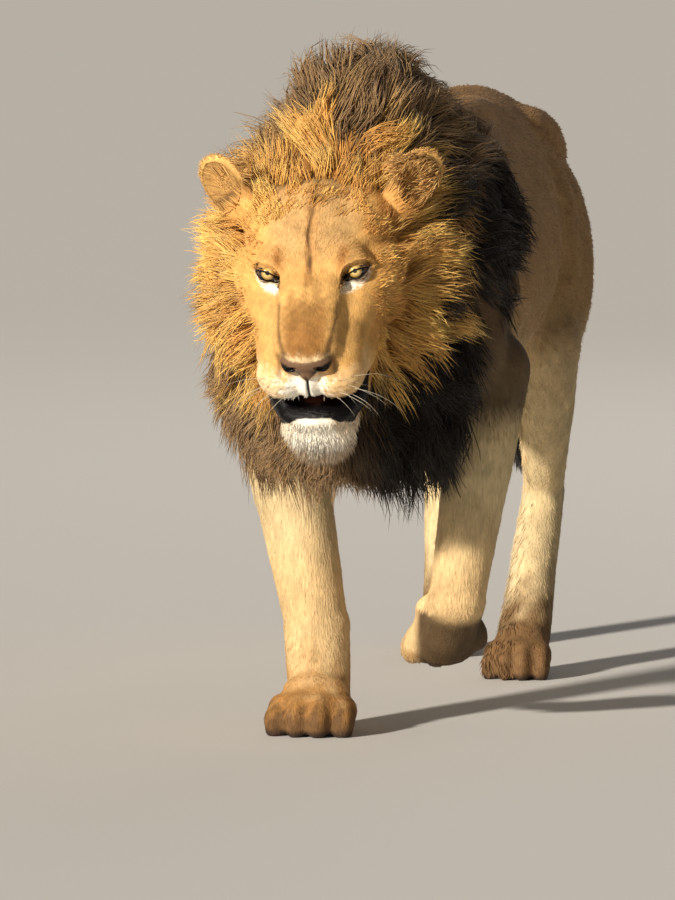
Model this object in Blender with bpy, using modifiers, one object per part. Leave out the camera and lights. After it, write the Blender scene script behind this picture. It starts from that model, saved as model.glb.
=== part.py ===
"""A male lion at a walk, life size, as a still museum model.

Metres. The lion walks towards -Y with its left side at +X, and the floor is z = 0.
It stands on the right forepaw and both hindpaws, and the left forepaw is lifted.
"""
import math

import bmesh
import bpy
from mathutils import Euler, Matrix, Vector

# Driving sizes.
withersHeight = 1.045
croupHeight = 1.008
sternumHeight = 0.500
chestHalfWidth = 0.178
bellyHalfWidth = 0.205
trunkEndY = 1.20
cutGap = 0.0006
hollowGap = 0.018
bodyTriangles = 2310
headTriangles = 1300
maneTriangles = 1130
earTriangles = 140
noseTriangles = 130
hollowTriangles = 850
tuftTriangles = 100

# The head: its own frame has the point midway between the eyes as origin, with the muzzle along -Y.
headPlace = Vector((-0.033, -0.460, 0.765))
headPitch = math.radians(29)
headYaw = math.radians(2)
headRoll = math.radians(-2)
eyeSpacing = 0.136
eyeRadius = 0.0190
eyeDepth = -0.004
earRoot = (0.125, 0.138, 0.030)
earTurn = (-26, 40, 15)

# Joints, as seen on the left side. Each leg has its own, because the lion is walking.
foreLegs = {
    "right": {
        "side": -1,
        "girth": 1.17,
        "shoulder": (0.148, -0.105, 0.735),
        "elbow": (0.190, 0.050, 0.560),
        "wrist": (0.110, 0.002, 0.165),
        "knuckle": (0.098, -0.040, 0.0605),
        "pawTurn": (0, 0, 3),
    },
    "left": {
        "side": 1,
        "girth": 1.03,
        "shoulder": (0.150, -0.115, 0.735),
        "elbow": (0.168, 0.045, 0.580),
        "wrist": (0.121, -0.015, 0.212),
        "knuckle": (0.097, 0.034, 0.158),
        "pawTurn": (132, -10, 16),
    },
}
hindLegs = {
    "left": {
        "side": 1,
        "hip": (0.104, 0.935, 0.830),
        "knee": (0.160, 0.715, 0.575),
        "hock": (0.116, 0.965, 0.300),
        "knuckle": (0.105, 0.812, 0.0605),
        "pawTurn": (0, 0, -3),
    },
    "right": {
        "side": -1,
        "hip": (0.104, 0.950, 0.830),
        "knee": (0.150, 0.885, 0.510),
        "hock": (0.100, 1.225, 0.335),
        "knuckle": (0.080, 1.150, 0.0605),
        "pawTurn": (0, 0, 4),
    },
}
tailRoute = [
    (0.000, 1.120, 0.940),
    (-0.002, 1.195, 0.915),
    (-0.008, 1.265, 0.855),
    (-0.014, 1.318, 0.760),
    (-0.020, 1.355, 0.650),
    (-0.026, 1.392, 0.530),
    (-0.028, 1.445, 0.420),
    (-0.024, 1.525, 0.350),
    (-0.016, 1.610, 0.330),
]
tailRootRadius = 0.040
tailTipRadius = 0.013


def clearScene():
    for thing in list(bpy.data.objects):
        bpy.data.objects.remove(thing)


def newCollection(name):
    made = bpy.data.collections.new(name)
    bpy.context.scene.collection.children.link(made)
    return made


def addObject(name, mesh, collection):
    made = bpy.data.objects.new(name, mesh)
    collection.objects.link(made)
    return made


def bakeModifiers(thing):
    """Replaces an object's mesh with what its modifiers make of it."""
    graph = bpy.context.evaluated_depsgraph_get()
    mesh = bpy.data.meshes.new_from_object(thing.evaluated_get(graph), depsgraph=graph)
    thing.modifiers.clear()
    thing.data = mesh
    return thing


def turned(degrees):
    return Euler([math.radians(a) for a in degrees]).to_matrix().to_4x4()


def at(centre, turn=(0, 0, 0)):
    return Matrix.Translation(Vector(centre)) @ turned(turn)


def sideways(point, side):
    return Vector((point[0] * side, point[1], point[2]))


# Clay: a list of simple closed shapes that overlap, and are then fused to one skin.

def unitShape(make, **options):
    """The points and faces of a unit primitive."""
    shape = bmesh.new()
    make(shape, **options)
    found = ([v.co.copy() for v in shape.verts], [[v.index for v in f.verts] for f in shape.faces])
    shape.free()
    return found


unitBall = unitShape(bmesh.ops.create_uvsphere, u_segments=24, v_segments=14, radius=1)
unitDrum = unitShape(bmesh.ops.create_cone, cap_ends=True, segments=24, radius1=1, radius2=1, depth=1)


def ball(clay, centre, radii, turn=(0, 0, 0)):
    """An ellipsoid, turned by degrees about X, Y and Z."""
    place = Matrix.Translation(Vector(centre)) @ turned(turn) @ Matrix.Diagonal((*radii, 1))
    clay.append(([place @ point for point in unitBall[0]], unitBall[1]))


def pair(clay, centre, radii, turn=(0, 0, 0)):
    """The same ellipsoid on both sides of the middle plane."""
    for side in (1, -1):
        ball(clay, sideways(centre, side), radii, (turn[0], turn[1] * side, turn[2] * side))


def alongMatrix(start, end):
    """A frame with Z from start to end and X as near sideways as it can be."""
    along = (Vector(end) - Vector(start)).normalized()
    across = Vector((1, 0, 0)) - along * along.x
    if across.length < 1e-3:
        across = Vector((0, 0, 1))
    across.normalize()
    return Matrix((across, along.cross(across), along)).transposed().to_4x4()


def muscle(clay, start, end, thick, wide, stretch=1.12):
    """A spindle from start to end: thick is its radius sideways, and wide the other way."""
    start, end = Vector(start), Vector(end)
    long = (end - start).length / 2 * stretch
    place = Matrix.Translation((start + end) / 2) @ alongMatrix(start, end)
    place = place @ Matrix.Diagonal((thick, wide, long, 1))
    clay.append(([place @ point for point in unitBall[0]], unitBall[1]))


def rod(clay, start, end, startRadius, endRadius, squeeze=1.0):
    """A tapered round bone with ball ends. A squeeze under 1 makes it thinner from front to back."""
    start, end = Vector(start), Vector(end)
    frame = alongMatrix(start, end)
    place = Matrix.Translation((start + end) / 2) @ frame
    long = (end - start).length
    taper = [Vector((p.x * r, p.y * r * squeeze, p.z * long)) for p in unitDrum[0]
             for r in [startRadius if p.z < 0 else endRadius]]
    clay.append(([place @ point for point in taper], unitDrum[1]))
    for centre, radius in ((start, startRadius), (end, endRadius)):
        place = Matrix.Translation(centre) @ frame @ Matrix.Diagonal((radius, radius * squeeze, radius, 1))
        clay.append(([place @ point for point in unitBall[0]], unitBall[1]))


def facetBall(name, collection, place):
    """A ball of few faces."""
    shape = bmesh.new()
    bmesh.ops.create_uvsphere(shape, u_segments=12, v_segments=7, radius=1, matrix=place)
    mesh = bpy.data.meshes.new(name)
    shape.to_mesh(mesh)
    shape.free()
    return addObject(name, mesh, collection)


def loft(clay, stations):
    """A closed tube along Y. Each station is (y, top, bottom, half width, x of its middle)."""
    around, points, faces = 28, [], []
    for y, top, bottom, half, middle in stations:
        for step in range(around):
            angle = math.tau * step / around
            up = math.cos(angle)
            out = math.sin(angle) * (1 - 0.10 * up)
            points.append(Vector((middle + half * out, y, (top + bottom) / 2 + (top - bottom) / 2 * up)))
    for ring in range(len(stations) - 1):
        for step in range(around):
            here, after = ring * around + step, ring * around + (step + 1) % around
            faces.append([here, here + around, after + around, after])
    faces.append(list(range(around)))
    faces.append(list(range(len(points) - 1, len(points) - 1 - around, -1)))
    clay.append((points, faces))


def pour(clay, thing, matrix=None):
    """Adds an object's mesh to the clay, and removes the object."""
    place = (matrix or Matrix.Identity(4)) @ thing.matrix_world
    clay.append(([place @ v.co for v in thing.data.vertices], [list(f.vertices) for f in thing.data.polygons]))
    bpy.data.objects.remove(thing)


def fuse(name, clay, collection, grain, rounds):
    """Fuses clay to one closed skin: a voxel remesh of that grain, then so many rounds of smoothing."""
    points, faces = [], []
    for shapePoints, shapeFaces in clay:
        faces += [[corner + len(points) for corner in face] for face in shapeFaces]
        points += shapePoints
    mesh = bpy.data.meshes.new(name)
    mesh.from_pydata(points, [], faces)
    made = addObject(name, mesh, collection)
    remesh = made.modifiers.new("fuse", "REMESH")
    remesh.mode = "VOXEL"
    remesh.voxel_size = grain
    if rounds:
        smooth = made.modifiers.new("soften", "SMOOTH")
        smooth.factor = 0.5
        smooth.iterations = rounds
    return bakeModifiers(made)


# Trunk, neck and the great muscles.

def trunkClay(clay):
    loft(clay, [
        (-0.185, 0.840, 0.640, 0.070, 0),
        (-0.150, 0.920, 0.575, 0.115, 0),
        (-0.070, 1.000, 0.525, 0.150, 0),
        (0.030, withersHeight - 0.006, sternumHeight, chestHalfWidth, 0),
        (0.150, withersHeight - 0.010, sternumHeight - 0.010, 0.190, 0),
        (0.300, 1.012, sternumHeight - 0.008, 0.204, 0),
        (0.450, croupHeight - 0.008, 0.500, bellyHalfWidth, 0),
        (0.600, croupHeight - 0.010, 0.520, 0.200, 0),
        (0.740, croupHeight, 0.556, 0.184, 0),
        (0.880, croupHeight + 0.004, 0.606, 0.166, 0),
        (1.020, croupHeight - 0.012, 0.656, 0.148, 0),
        (1.120, 0.962, 0.705, 0.112, 0),
        (trunkEndY, 0.915, 0.790, 0.058, 0),
    ])
    pair(clay, (0.046, 0.060, 0.972), (0.048, 0.125, 0.076), (8, 0, 0))
    pair(clay, (0.040, 0.520, 0.968), (0.055, 0.260, 0.036))
    ball(clay, (0, 0.020, 0.560), (0.105, 0.170, 0.085))
    pair(clay, (0.062, -0.125, 0.655), (0.080, 0.075, 0.100))
    for before, after, thick in zip(tailRoute, tailRoute[1:3], (tailRootRadius * 1.12, tailRootRadius)):
        rod(clay, before, after, thick, thick * 0.94)


def neckClay(clay):
    loft(clay, [
        (-0.330, 0.900, 0.700, 0.095, -0.030),
        (-0.270, 0.945, 0.655, 0.120, -0.026),
        (-0.200, 0.985, 0.630, 0.132, -0.018),
        (-0.110, 1.020, 0.620, 0.142, -0.008),
        (0.000, 1.035, 0.620, 0.150, 0),
        (0.080, 1.030, 0.640, 0.140, 0),
    ])


def foreShoulderClay(clay, leg):
    side = leg["side"]
    shoulder, elbow = sideways(leg["shoulder"], side), sideways(leg["elbow"], side)
    blade = Vector((0.098 * side, 0.065, 0.975))
    back, down = Vector((0.026 * side, 0.06, -0.10)), Vector((-0.008 * side, 0.018, 0.045))
    muscle(clay, blade, shoulder, 0.064, 0.098, 1.15)
    muscle(clay, blade + back, elbow + down, 0.062, 0.100, 1.15)
    muscle(clay, shoulder + Vector((0, -0.01, 0.03)), elbow + Vector((-0.012 * side, -0.045, -0.01)), 0.060, 0.070, 1.25)
    ball(clay, shoulder + Vector((-0.010 * side, 0, 0)), (0.058, 0.066, 0.078))


def foreArmClay(clay, leg):
    side, girth = leg["side"], leg["girth"]
    elbow, wrist = sideways(leg["elbow"], side), sideways(leg["wrist"], side)
    down = (wrist - elbow).normalized()
    rod(clay, elbow, elbow.lerp(wrist, 0.45), 0.066 * girth, 0.058 * girth, 1.12)
    rod(clay, elbow.lerp(wrist, 0.45), wrist, 0.056 * girth, 0.046 * girth, 1.02)
    muscle(clay, elbow + Vector((0.016 * side, -0.026, 0.02)), elbow.lerp(wrist, 0.70) + Vector((0.008 * side, 0, 0)), 0.050 * girth, 0.052)
    muscle(clay, elbow + Vector((-0.020 * side, 0.012, 0.0)), elbow.lerp(wrist, 0.64) + Vector((-0.010 * side, 0, 0)), 0.050 * girth, 0.050)
    ball(clay, elbow + Vector((0.002 * side, 0.054, 0.030)), (0.032, 0.036, 0.048))
    ball(clay, wrist - down * 0.006, (0.052 * girth, 0.047, 0.044))
    ball(clay, wrist + Vector((0.010 * side, 0.036, -0.002)), (0.020, 0.020, 0.024))


def haunchClay(clay, leg):
    side = leg["side"]
    hip, knee, hock = (sideways(leg[k], side) for k in ("hip", "knee", "hock"))
    seat = Vector((0.074 * side, 1.125, 0.845))
    crest = Vector((0.096 * side, 0.785, 0.925))
    muscle(clay, crest + Vector((0, 0, -0.012)), seat + Vector((0, 0, 0.018)), 0.074, 0.084, 1.12)
    muscle(clay, hip + Vector((0.012 * side, 0, 0.03)), knee + Vector((-0.006 * side, 0.03, -0.01)), 0.088, 0.132, 1.22)
    muscle(clay, crest + Vector((0.024 * side, 0.03, -0.025)), knee + Vector((0, 0.0, 0.01)), 0.072, 0.090, 1.12)
    muscle(clay, seat + Vector((0.018 * side, -0.01, 0)), knee.lerp(hock, 0.30) + Vector((0, 0.03, 0)), 0.072, 0.100, 1.12)
    muscle(clay, hip + Vector((-0.02 * side, 0.02, 0)), knee.lerp(hock, 0.25) + Vector((-0.025 * side, 0, 0)), 0.062, 0.112, 1.05)
    ball(clay, knee, (0.060, 0.066, 0.070))


def shankClay(clay, leg):
    side = leg["side"]
    knee, hock = sideways(leg["knee"], side), sideways(leg["hock"], side)
    knuckle = sideways(leg["knuckle"], side)
    rod(clay, knee, knee.lerp(hock, 0.5), 0.060, 0.050, 1.18)
    rod(clay, knee.lerp(hock, 0.5), hock, 0.049, 0.036, 1.05)
    muscle(clay, knee + Vector((0, 0.050, 0.0)), knee.lerp(hock, 0.70) + Vector((0, 0.036, 0.01)), 0.048, 0.060)
    heel = hock + (hock - knuckle).normalized() * 0.026 + Vector((0, 0.022, 0))
    rod(clay, knee.lerp(hock, 0.62) + Vector((0, 0.046, 0.0)), heel, 0.024, 0.022)
    rod(clay, heel, hock.lerp(knuckle, 0.25) + Vector((0, 0.012, 0)), 0.026, 0.030)
    ball(clay, hock, (0.040, 0.044, 0.042))
    rod(clay, hock, knuckle, 0.039, 0.046, 1.10)


# Paws: a palm, four toes and the pads under them.

def pawClay(clay, wide, long):
    """A paw in its own frame: the knuckle is the origin, the toes point along -Y, and the sole is flat."""
    sole = -0.062
    ball(clay, (0, -0.022, sole + 0.040), (wide * 0.38, long * 0.30, 0.040))
    ball(clay, (0, 0.006, sole + 0.026), (wide * 0.31, long * 0.22, 0.032))
    for step, (reach, lift) in enumerate(((0.70, 0.000), (0.86, 0.004), (0.86, 0.004), (0.68, 0.000))):
        across = (step - 1.5) / 1.5
        toe = Vector((across * wide * 0.345, -long * reach * 0.62, sole + 0.026 + lift))
        fan = 11 * across
        ball(clay, toe + Vector((-across * 0.004, 0.026, 0.013)), (wide * 0.142, long * 0.23, 0.027), (-18, 0, fan))
        ball(clay, toe, (wide * 0.132, long * 0.175, 0.026), (-6, 0, fan))
        ball(clay, toe + Vector((0, -0.004, -0.014)), (wide * 0.115, long * 0.140, 0.018), (0, 0, fan))
    ball(clay, (0, 0.010, sole + 0.010), (wide * 0.30, long * 0.22, 0.014))


def placedPaw(name, collection, leg, wide, long):
    clay = []
    pawClay(clay, wide, long)
    paw = fuse(name, clay, collection, 0.0038, 3)
    side = leg["side"]
    turn = Vector(leg["pawTurn"])
    paw.matrix_world = Matrix.Translation(sideways(leg["knuckle"], side)) @ turned((turn.x, turn.y * side, turn.z * side))
    return paw


# The head, in its own frame.

def headMatrix():
    turn = Euler((headPitch, headRoll, headYaw), "XYZ").to_matrix().to_4x4()
    return Matrix.Translation(headPlace) @ turn


def skullClay(clay):
    """The masses of bone and muscle, which are softened the most."""
    ball(clay, (0, 0.112, 0.000), (0.104, 0.115, 0.084))
    ball(clay, (0, 0.046, 0.014), (0.086, 0.086, 0.052), (14, 0, 0))
    pair(clay, (0.056, 0.112, 0.018), (0.062, 0.090, 0.056))
    pair(clay, (0.084, 0.052, -0.036), (0.050, 0.080, 0.050), (0, 0, -12))
    pair(clay, (0.082, 0.088, -0.084), (0.054, 0.076, 0.074))
    pair(clay, (0.068, -0.010, -0.052), (0.042, 0.066, 0.042), (0, 0, -16))
    pair(clay, (0.050, 0.004, 0.018), (0.044, 0.036, 0.024), (14, 14, -14))
    for side in (1, -1):
        rod(clay, (0.026 * side, 0.024, 0.008), (0.024 * side, -0.136, -0.054), 0.034, 0.029)
        rod(clay, (0.040 * side, 0.000, -0.056), (0.040 * side, -0.110, -0.092), 0.052, 0.045)
    rod(clay, (0, 0.020, 0.012), (0, -0.136, -0.048), 0.034, 0.028)
    ball(clay, (0, 0.060, -0.120), (0.080, 0.110, 0.078))
    ball(clay, (0, 0.180, -0.030), (0.090, 0.080, 0.098))


def faceClay(clay):
    """The finer forms of the upper face."""
    pair(clay, (0.056, -0.004, 0.024), (0.034, 0.026, 0.014), (12, 12, -14))
    ball(clay, (0, -0.148, -0.058), (0.040, 0.026, 0.028), (20, 0, 0))
    pair(clay, (0.042, -0.124, -0.106), (0.044, 0.046, 0.038), (8, 0, -12))
    pair(clay, (0.062, -0.068, -0.114), (0.032, 0.066, 0.036), (4, 0, -16))
    ball(clay, (0, -0.140, -0.104), (0.026, 0.030, 0.034))
    pair(clay, (0.074, -0.008, -0.118), (0.030, 0.056, 0.036), (0, 0, -12))


def jawClay(clay):
    """The lower jaw with its lip and the beard under the chin."""
    ball(clay, (0, -0.106, -0.198), (0.060, 0.044, 0.034), (10, 0, 0))
    ball(clay, (0, -0.122, -0.178), (0.054, 0.034, 0.020), (6, 0, 0))
    ball(clay, (0, -0.098, -0.232), (0.048, 0.036, 0.044))
    pair(clay, (0.052, -0.076, -0.174), (0.024, 0.060, 0.028), (8, 0, -16))
    for side in (1, -1):
        rod(clay, (0.036 * side, -0.080, -0.184), (0.076 * side, 0.080, -0.130), 0.034, 0.040)
    ball(clay, (0, 0.020, -0.165), (0.066, 0.100, 0.045), (12, 0, 0))


def buildHead(collection):
    clay = []
    skullClay(clay)
    skull = fuse("skull", clay, collection, 0.0050, 9)
    clay = []
    faceClay(clay)
    jawClay(clay)
    pour(clay, skull)
    head = fuse("head_clay", clay, collection, 0.0040, 4)
    thin(head, headTriangles)
    clay = []
    ball(clay, (0, -0.124, -0.151), (0.074, 0.088, 0.0135), (4, 0, 0))
    cut(head, thin(fuse("mouth", clay, collection, 0.0035, 1), 150), "DIFFERENCE")
    for side in (1, -1):
        eye = Vector((eyeSpacing / 2 * side, eyeDepth, 0))
        lids = at(eye + Vector((0.001 * side, -0.026, -0.001)), (0, 10 * side, 12 * side))
        cut(head, facetBall("lids", collection, lids @ Matrix.Diagonal((0.0175, 0.022, 0.0090, 1))), "DIFFERENCE")
        socket = Matrix.Translation(eye) @ Matrix.Scale(eyeRadius + cutGap, 4)
        cut(head, facetBall("socket", collection, socket), "DIFFERENCE")
    head.data.transform(headMatrix())
    return head


def buildEar(collection, side):
    """A round ear, cupped on its front. In its own frame the root is the origin and the tip is along +Z."""
    clay = []
    ball(clay, (0, 0.004, 0.051), (0.044, 0.016, 0.051))
    ball(clay, (0, 0.008, 0.006), (0.038, 0.028, 0.044))
    ear = fuse("ear_" + ("left" if side > 0 else "right"), clay, collection, 0.003, 4)
    cup = []
    ball(cup, (0, -0.014, 0.051), (0.035, 0.019, 0.041))
    cut(ear, fuse("ear_cup", cup, collection, 0.003, 1), "DIFFERENCE")
    tilt, lean, yaw = earTurn
    place = headMatrix() @ Matrix.Translation(sideways(earRoot, side))
    ear.data.transform(place @ turned((0, lean * side, 0)) @ turned((tilt, 0, 0)) @ turned((0, 0, yaw * side)))
    return ear


def buildNose(collection):
    clay = []
    ball(clay, (0, -0.163, -0.062), (0.036, 0.018, 0.016), (24, 0, 0))
    pair(clay, (0.025, -0.158, -0.067), (0.020, 0.018, 0.015), (20, 18, 0))
    ball(clay, (0, -0.163, -0.081), (0.015, 0.014, 0.014))
    nose = fuse("nose", clay, collection, 0.0025, 3)
    holes = []
    pair(holes, (0.022, -0.179, -0.070), (0.0090, 0.010, 0.0060), (20, 28, 0))
    cut(nose, fuse("nostrils", holes, collection, 0.0015, 1), "DIFFERENCE")
    nose.data.transform(headMatrix())
    return nose


# The mane.

def maneClay(clay):
    ball(clay, (-0.042, -0.285, 0.740), (0.219, 0.125, 0.248), (-14, 0, 0))
    ball(clay, (-0.012, -0.120, 0.930), (0.162, 0.240, 0.182))
    ball(clay, (-0.004, -0.110, 0.780), (0.222, 0.235, 0.280))
    ball(clay, (-0.034, -0.215, 0.580), (0.222, 0.172, 0.150))
    ball(clay, (-0.010, -0.245, 0.530), (0.160, 0.145, 0.130))
    pair(clay, (0.145, 0.010, 0.790), (0.088, 0.150, 0.210))
    ball(clay, (0, -0.050, 0.500), (0.130, 0.150, 0.080))


def lock(clay, points, thick):
    """One great lock of hair along a few points: thin at the root, full in the middle, and fine at the tip."""
    count = len(points) - 1
    radii = [thick * (0.18 + 0.82 * math.sin(math.pi * min(1, 0.16 + step / count * 0.80))) for step in range(count + 1)]
    for step in range(count):
        rod(clay, points[step], points[step + 1], radii[step], radii[step + 1])


def maneLocks(clay):
    """Locks that leave the face all round and lie back over the neck, the chest and the shoulders."""
    face = Vector((-0.040, -0.372, 0.738))
    neck = Vector((-0.014, -0.110, 0.792))
    for step in range(24):
        angle = math.tau * (step + 0.5) / 24
        out = Vector((math.sin(angle), 0, math.cos(angle)))
        wave = 0.010 * math.sin(step * 2.4)
        lock(clay, [
            face + out * 0.128 + Vector((0, 0.010, 0)),
            face + out * (0.172 + wave) + Vector((0, 0.030, -0.002)),
            face + out * (0.204 + wave) + Vector((0, 0.075, -0.008)),
            face + out * (0.222 + wave) + Vector((0, 0.130 + wave, -0.026)),
        ], 0.027)
    for step in range(26):
        angle = math.tau * (step + 0.5) / 26
        out = Vector((math.sin(angle) * 0.230, 0, math.cos(angle) * 0.314))
        wave = math.sin(step * 1.9)
        if out.z < -0.21:
            continue
        lock(clay, [
            neck + out * 0.86 + Vector((0, -0.150, 0.010)),
            neck + out * 0.965 + Vector((0, -0.070, 0.004)),
            neck + out * 0.985 + Vector((0, 0.010 + 0.012 * wave, -0.022)),
            neck + out * (0.965 + 0.02 * wave) + Vector((0, 0.095, -0.054)),
            neck + out * 0.87 + Vector((0, 0.175 + 0.02 * wave, -0.088)),
        ], 0.034)
    for step in range(17):
        angle = math.tau * (step - 8) / 25
        out = Vector((math.sin(angle), -math.cos(angle), 0))
        low = 0.385 + 0.014 * math.sin(step * 1.9)
        centre = Vector((-0.022, -0.155, 0))
        lock(clay, [
            centre + out * 0.150 + Vector((0, 0, 0.680)),
            centre + out * 0.188 + Vector((0, 0, 0.590)),
            centre + out * 0.182 + Vector((0, 0, 0.490)),
            centre + out * 0.135 + Vector((0, 0.010, low)),
        ], 0.032)


def buildMane(collection):
    clay = []
    maneClay(clay)
    soft = fuse("mane_mass", clay, collection, 0.014, 8)
    clay = []
    maneLocks(clay)
    pour(clay, soft)
    return fuse("mane", clay, collection, 0.0095, 2)


def buildTailTuft(collection):
    clay = []
    end = Vector(tailRoute[-1])
    before = Vector(tailRoute[-2])
    muscle(clay, before.lerp(end, 0.2), end + Vector((0.004, 0.055, -0.012)), 0.034, 0.036, 1.05)
    muscle(clay, before.lerp(end, 0.8), end + Vector((0.006, 0.110, -0.030)), 0.024, 0.026, 1.10)
    return fuse("tail_tuft", clay, collection, 0.006, 3)


# Cutting, thinning and joining.

def cut(thing, cutter, operation, keep=False):
    boolean = thing.modifiers.new(operation.lower(), "BOOLEAN")
    boolean.operation = operation
    boolean.object = cutter
    boolean.solver = "MANIFOLD"
    bakeModifiers(thing)
    if not keep:
        bpy.data.objects.remove(cutter)
    return thing


def thin(thing, triangles):
    """Brings a mesh down to about so many triangles, fewest where it is flattest."""
    thing.data.calc_loop_triangles()
    decimate = thing.modifiers.new("thin", "DECIMATE")
    decimate.ratio = min(1, triangles / len(thing.data.loop_triangles))
    decimate.use_collapse_triangulate = True
    return bakeModifiers(thing)


def swollen(thing, collection, swell):
    """A copy that is larger all round, to cut a neighbour with a gap."""
    made = addObject(thing.name + "_swollen", thing.data.copy(), collection)
    grow = made.modifiers.new("swell", "DISPLACE")
    grow.strength = swell
    grow.mid_level = 0
    return bakeModifiers(made)


def keepLargest(thing):
    """Drops the chips that a cut leaves beside the main body."""
    clay = bmesh.new()
    clay.from_mesh(thing.data)
    clay.verts.ensure_lookup_table()
    unseen = set(clay.verts)
    islands = []
    while unseen:
        stack = [unseen.pop()]
        island = list(stack)
        while stack:
            for edge in stack.pop().link_edges:
                for vert in edge.verts:
                    if vert in unseen:
                        unseen.remove(vert)
                        stack.append(vert)
                        island.append(vert)
        islands.append(island)
    islands.sort(key=len)
    for island in islands[:-1]:
        bmesh.ops.delete(clay, geom=island, context="VERTS")
    clay.to_mesh(thing.data)
    clay.free()
    return thing


def flattenSoles(thing):
    """Cuts the soles level with the floor."""
    clay = bmesh.new()
    clay.from_mesh(thing.data)
    found = bmesh.ops.bisect_plane(
        clay, geom=clay.verts[:] + clay.edges[:] + clay.faces[:], dist=1e-5,
        plane_co=(0, 0, 0), plane_no=(0, 0, -1), clear_outer=True)
    edges = [e for e in found["geom_cut"] if isinstance(e, bmesh.types.BMEdge)]
    bmesh.ops.holes_fill(clay, edges=edges)
    bmesh.ops.triangulate(clay, faces=clay.faces)
    clay.to_mesh(thing.data)
    clay.free()


def block(collection, place, size, grow=0.0):
    """A block that marks out one part of the body."""
    clay = bmesh.new()
    whole = [length + grow * 2 for length in size]
    bmesh.ops.create_cube(clay, size=1, matrix=place @ Matrix.Diagonal((*whole, 1)))
    mesh = bpy.data.meshes.new("block")
    clay.to_mesh(mesh)
    clay.free()
    return addObject("block", mesh, collection)


def part(name, source, inside, outside, collection):
    """The share of the source inside one block, or all of it, and outside the others."""
    made = addObject(name, source.data.copy(), collection)
    if inside:
        cut(made, block(collection, *inside), "INTERSECT")
    for place, size in outside:
        cut(made, block(collection, place, size, cutGap), "DIFFERENCE")
    return keepLargest(made)


def mirrored(region):
    """The same block on the right side."""
    place, size = region
    flip = Matrix.Diagonal((-1, 1, 1, 1))
    return flip @ place @ flip, size


def buildBody(collection):
    """Everything but the head: trunk, neck, legs, paws and tail in one skin."""
    clay = []
    trunkClay(clay)
    neckClay(clay)
    for leg in foreLegs.values():
        foreShoulderClay(clay, leg)
        foreArmClay(clay, leg)
    for leg in hindLegs.values():
        haunchClay(clay, leg)
        shankClay(clay, leg)
    big = fuse("big_forms", clay, collection, 0.009, 8)

    clay = []
    for leg in foreLegs.values():
        side = leg["side"]
        rod(clay, sideways(leg["wrist"], side), sideways(leg["knuckle"], side), 0.047, 0.047, 0.92)
    count = len(tailRoute) - 1
    for step in range(1, count):
        here, there = (tailRootRadius + (tailTipRadius - tailRootRadius) * (s / count) ** 0.7 for s in (step, step + 1))
        rod(clay, tailRoute[step], tailRoute[step + 1], here, there)
    for leg in foreLegs.values():
        pour(clay, placedPaw("forepaw", collection, leg, 0.156, 0.160))
    for leg in hindLegs.values():
        pour(clay, placedPaw("hindpaw", collection, leg, 0.124, 0.150))
    pour(clay, big)
    return fuse("body", clay, collection, 0.0055, 2)


# The parts: each block marks out one of them on the body. Leg blocks have a slanted top, from armpit or groin outwards.

neckBlock = (at((0, -0.323, 0.900), (-17.6, 0, 0)), (0.310, 0.500, 0.900))
headBlock = (at((0, -0.780, 0.700)), (0.800, 1.000, 1.000))
foreLegBlock = (at((0.468, -0.0525, 0.3695), (0, -53.5, 0)), (1.240, 0.375, 0.800))
hindLegBlock = (at((0.500, 0.9725, 0.474), (0, -55.3, 0)), (1.400, 0.695, 0.900))
tailBlock = (at((-0.008, 1.695, 0.7705), (-15, 0, 0)), (0.104, 1.000, 1.200))
forePawBlocks = {
    "right": (at((-0.100, -0.050, -0.085)), (0.170, 0.400, 0.400)),
    "left": (at((0.090, 0.116, 0.074), (45, 0, 0)), (0.196, 0.300, 0.300)),
}
hindPawBlocks = {
    "left": (at((0.106, 0.780, -0.095)), (0.200, 0.320, 0.400)),
    "right": (at((-0.080, 1.120, -0.095)), (0.160, 0.320, 0.400)),
}
leftWall = (at((-0.508, 0.500, 0.500)), (1.000, 3.000, 3.000))
rightWall = (at((0.492, 0.500, 0.500)), (1.000, 3.000, 3.000))
jawBlock = (at((0, -0.043, -0.246), (4, 0, 0)), (0.500, 0.500, 0.200))

coatColours = {
    "head": (0.52, 0.33, 0.15),
    "lower_jaw": (0.78, 0.70, 0.58),
    "nose": (0.16, 0.08, 0.06),
    "eye": (0.45, 0.26, 0.06),
    "ear": (0.56, 0.34, 0.14),
    "neck": (0.40, 0.26, 0.13),
    "mane": (0.42, 0.22, 0.07),
    "trunk": (0.50, 0.37, 0.22),
    "tail": (0.50, 0.37, 0.22),
    "tail_tuft": (0.06, 0.04, 0.03),
    "foreleg": (0.60, 0.42, 0.24),
    "forepaw": (0.46, 0.28, 0.14),
    "hindleg": (0.58, 0.43, 0.27),
    "hindpaw": (0.42, 0.29, 0.18),
}


def paint(thing):
    """Gives a part its own material, in the main colour of its coat."""
    kind = thing.name.removesuffix("_left").removesuffix("_right")
    material = bpy.data.materials.new(thing.name)
    material.use_nodes = True
    shader = material.node_tree.nodes["Principled BSDF"]
    shader.inputs["Base Color"].default_value = (*coatColours[kind], 1)
    shader.inputs["Roughness"].default_value = 0.15 if kind == "eye" else 0.45 if kind == "nose" else 0.8
    thing.data.shade_smooth()
    thing.data.materials.clear()
    thing.data.materials.append(material)


def standOnOrigin(things):
    """Moves all the parts so that the middle of the box's floor is the origin."""
    corners = [v.co for thing in things for v in thing.data.vertices]
    low, high = ([pick(c[axis] for c in corners) for axis in range(3)] for pick in (min, max))
    shift = Vector((-(low[0] + high[0]) / 2, -(low[1] + high[1]) / 2, -low[2]))
    for thing in things:
        thing.data.transform(Matrix.Translation(shift))


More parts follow.
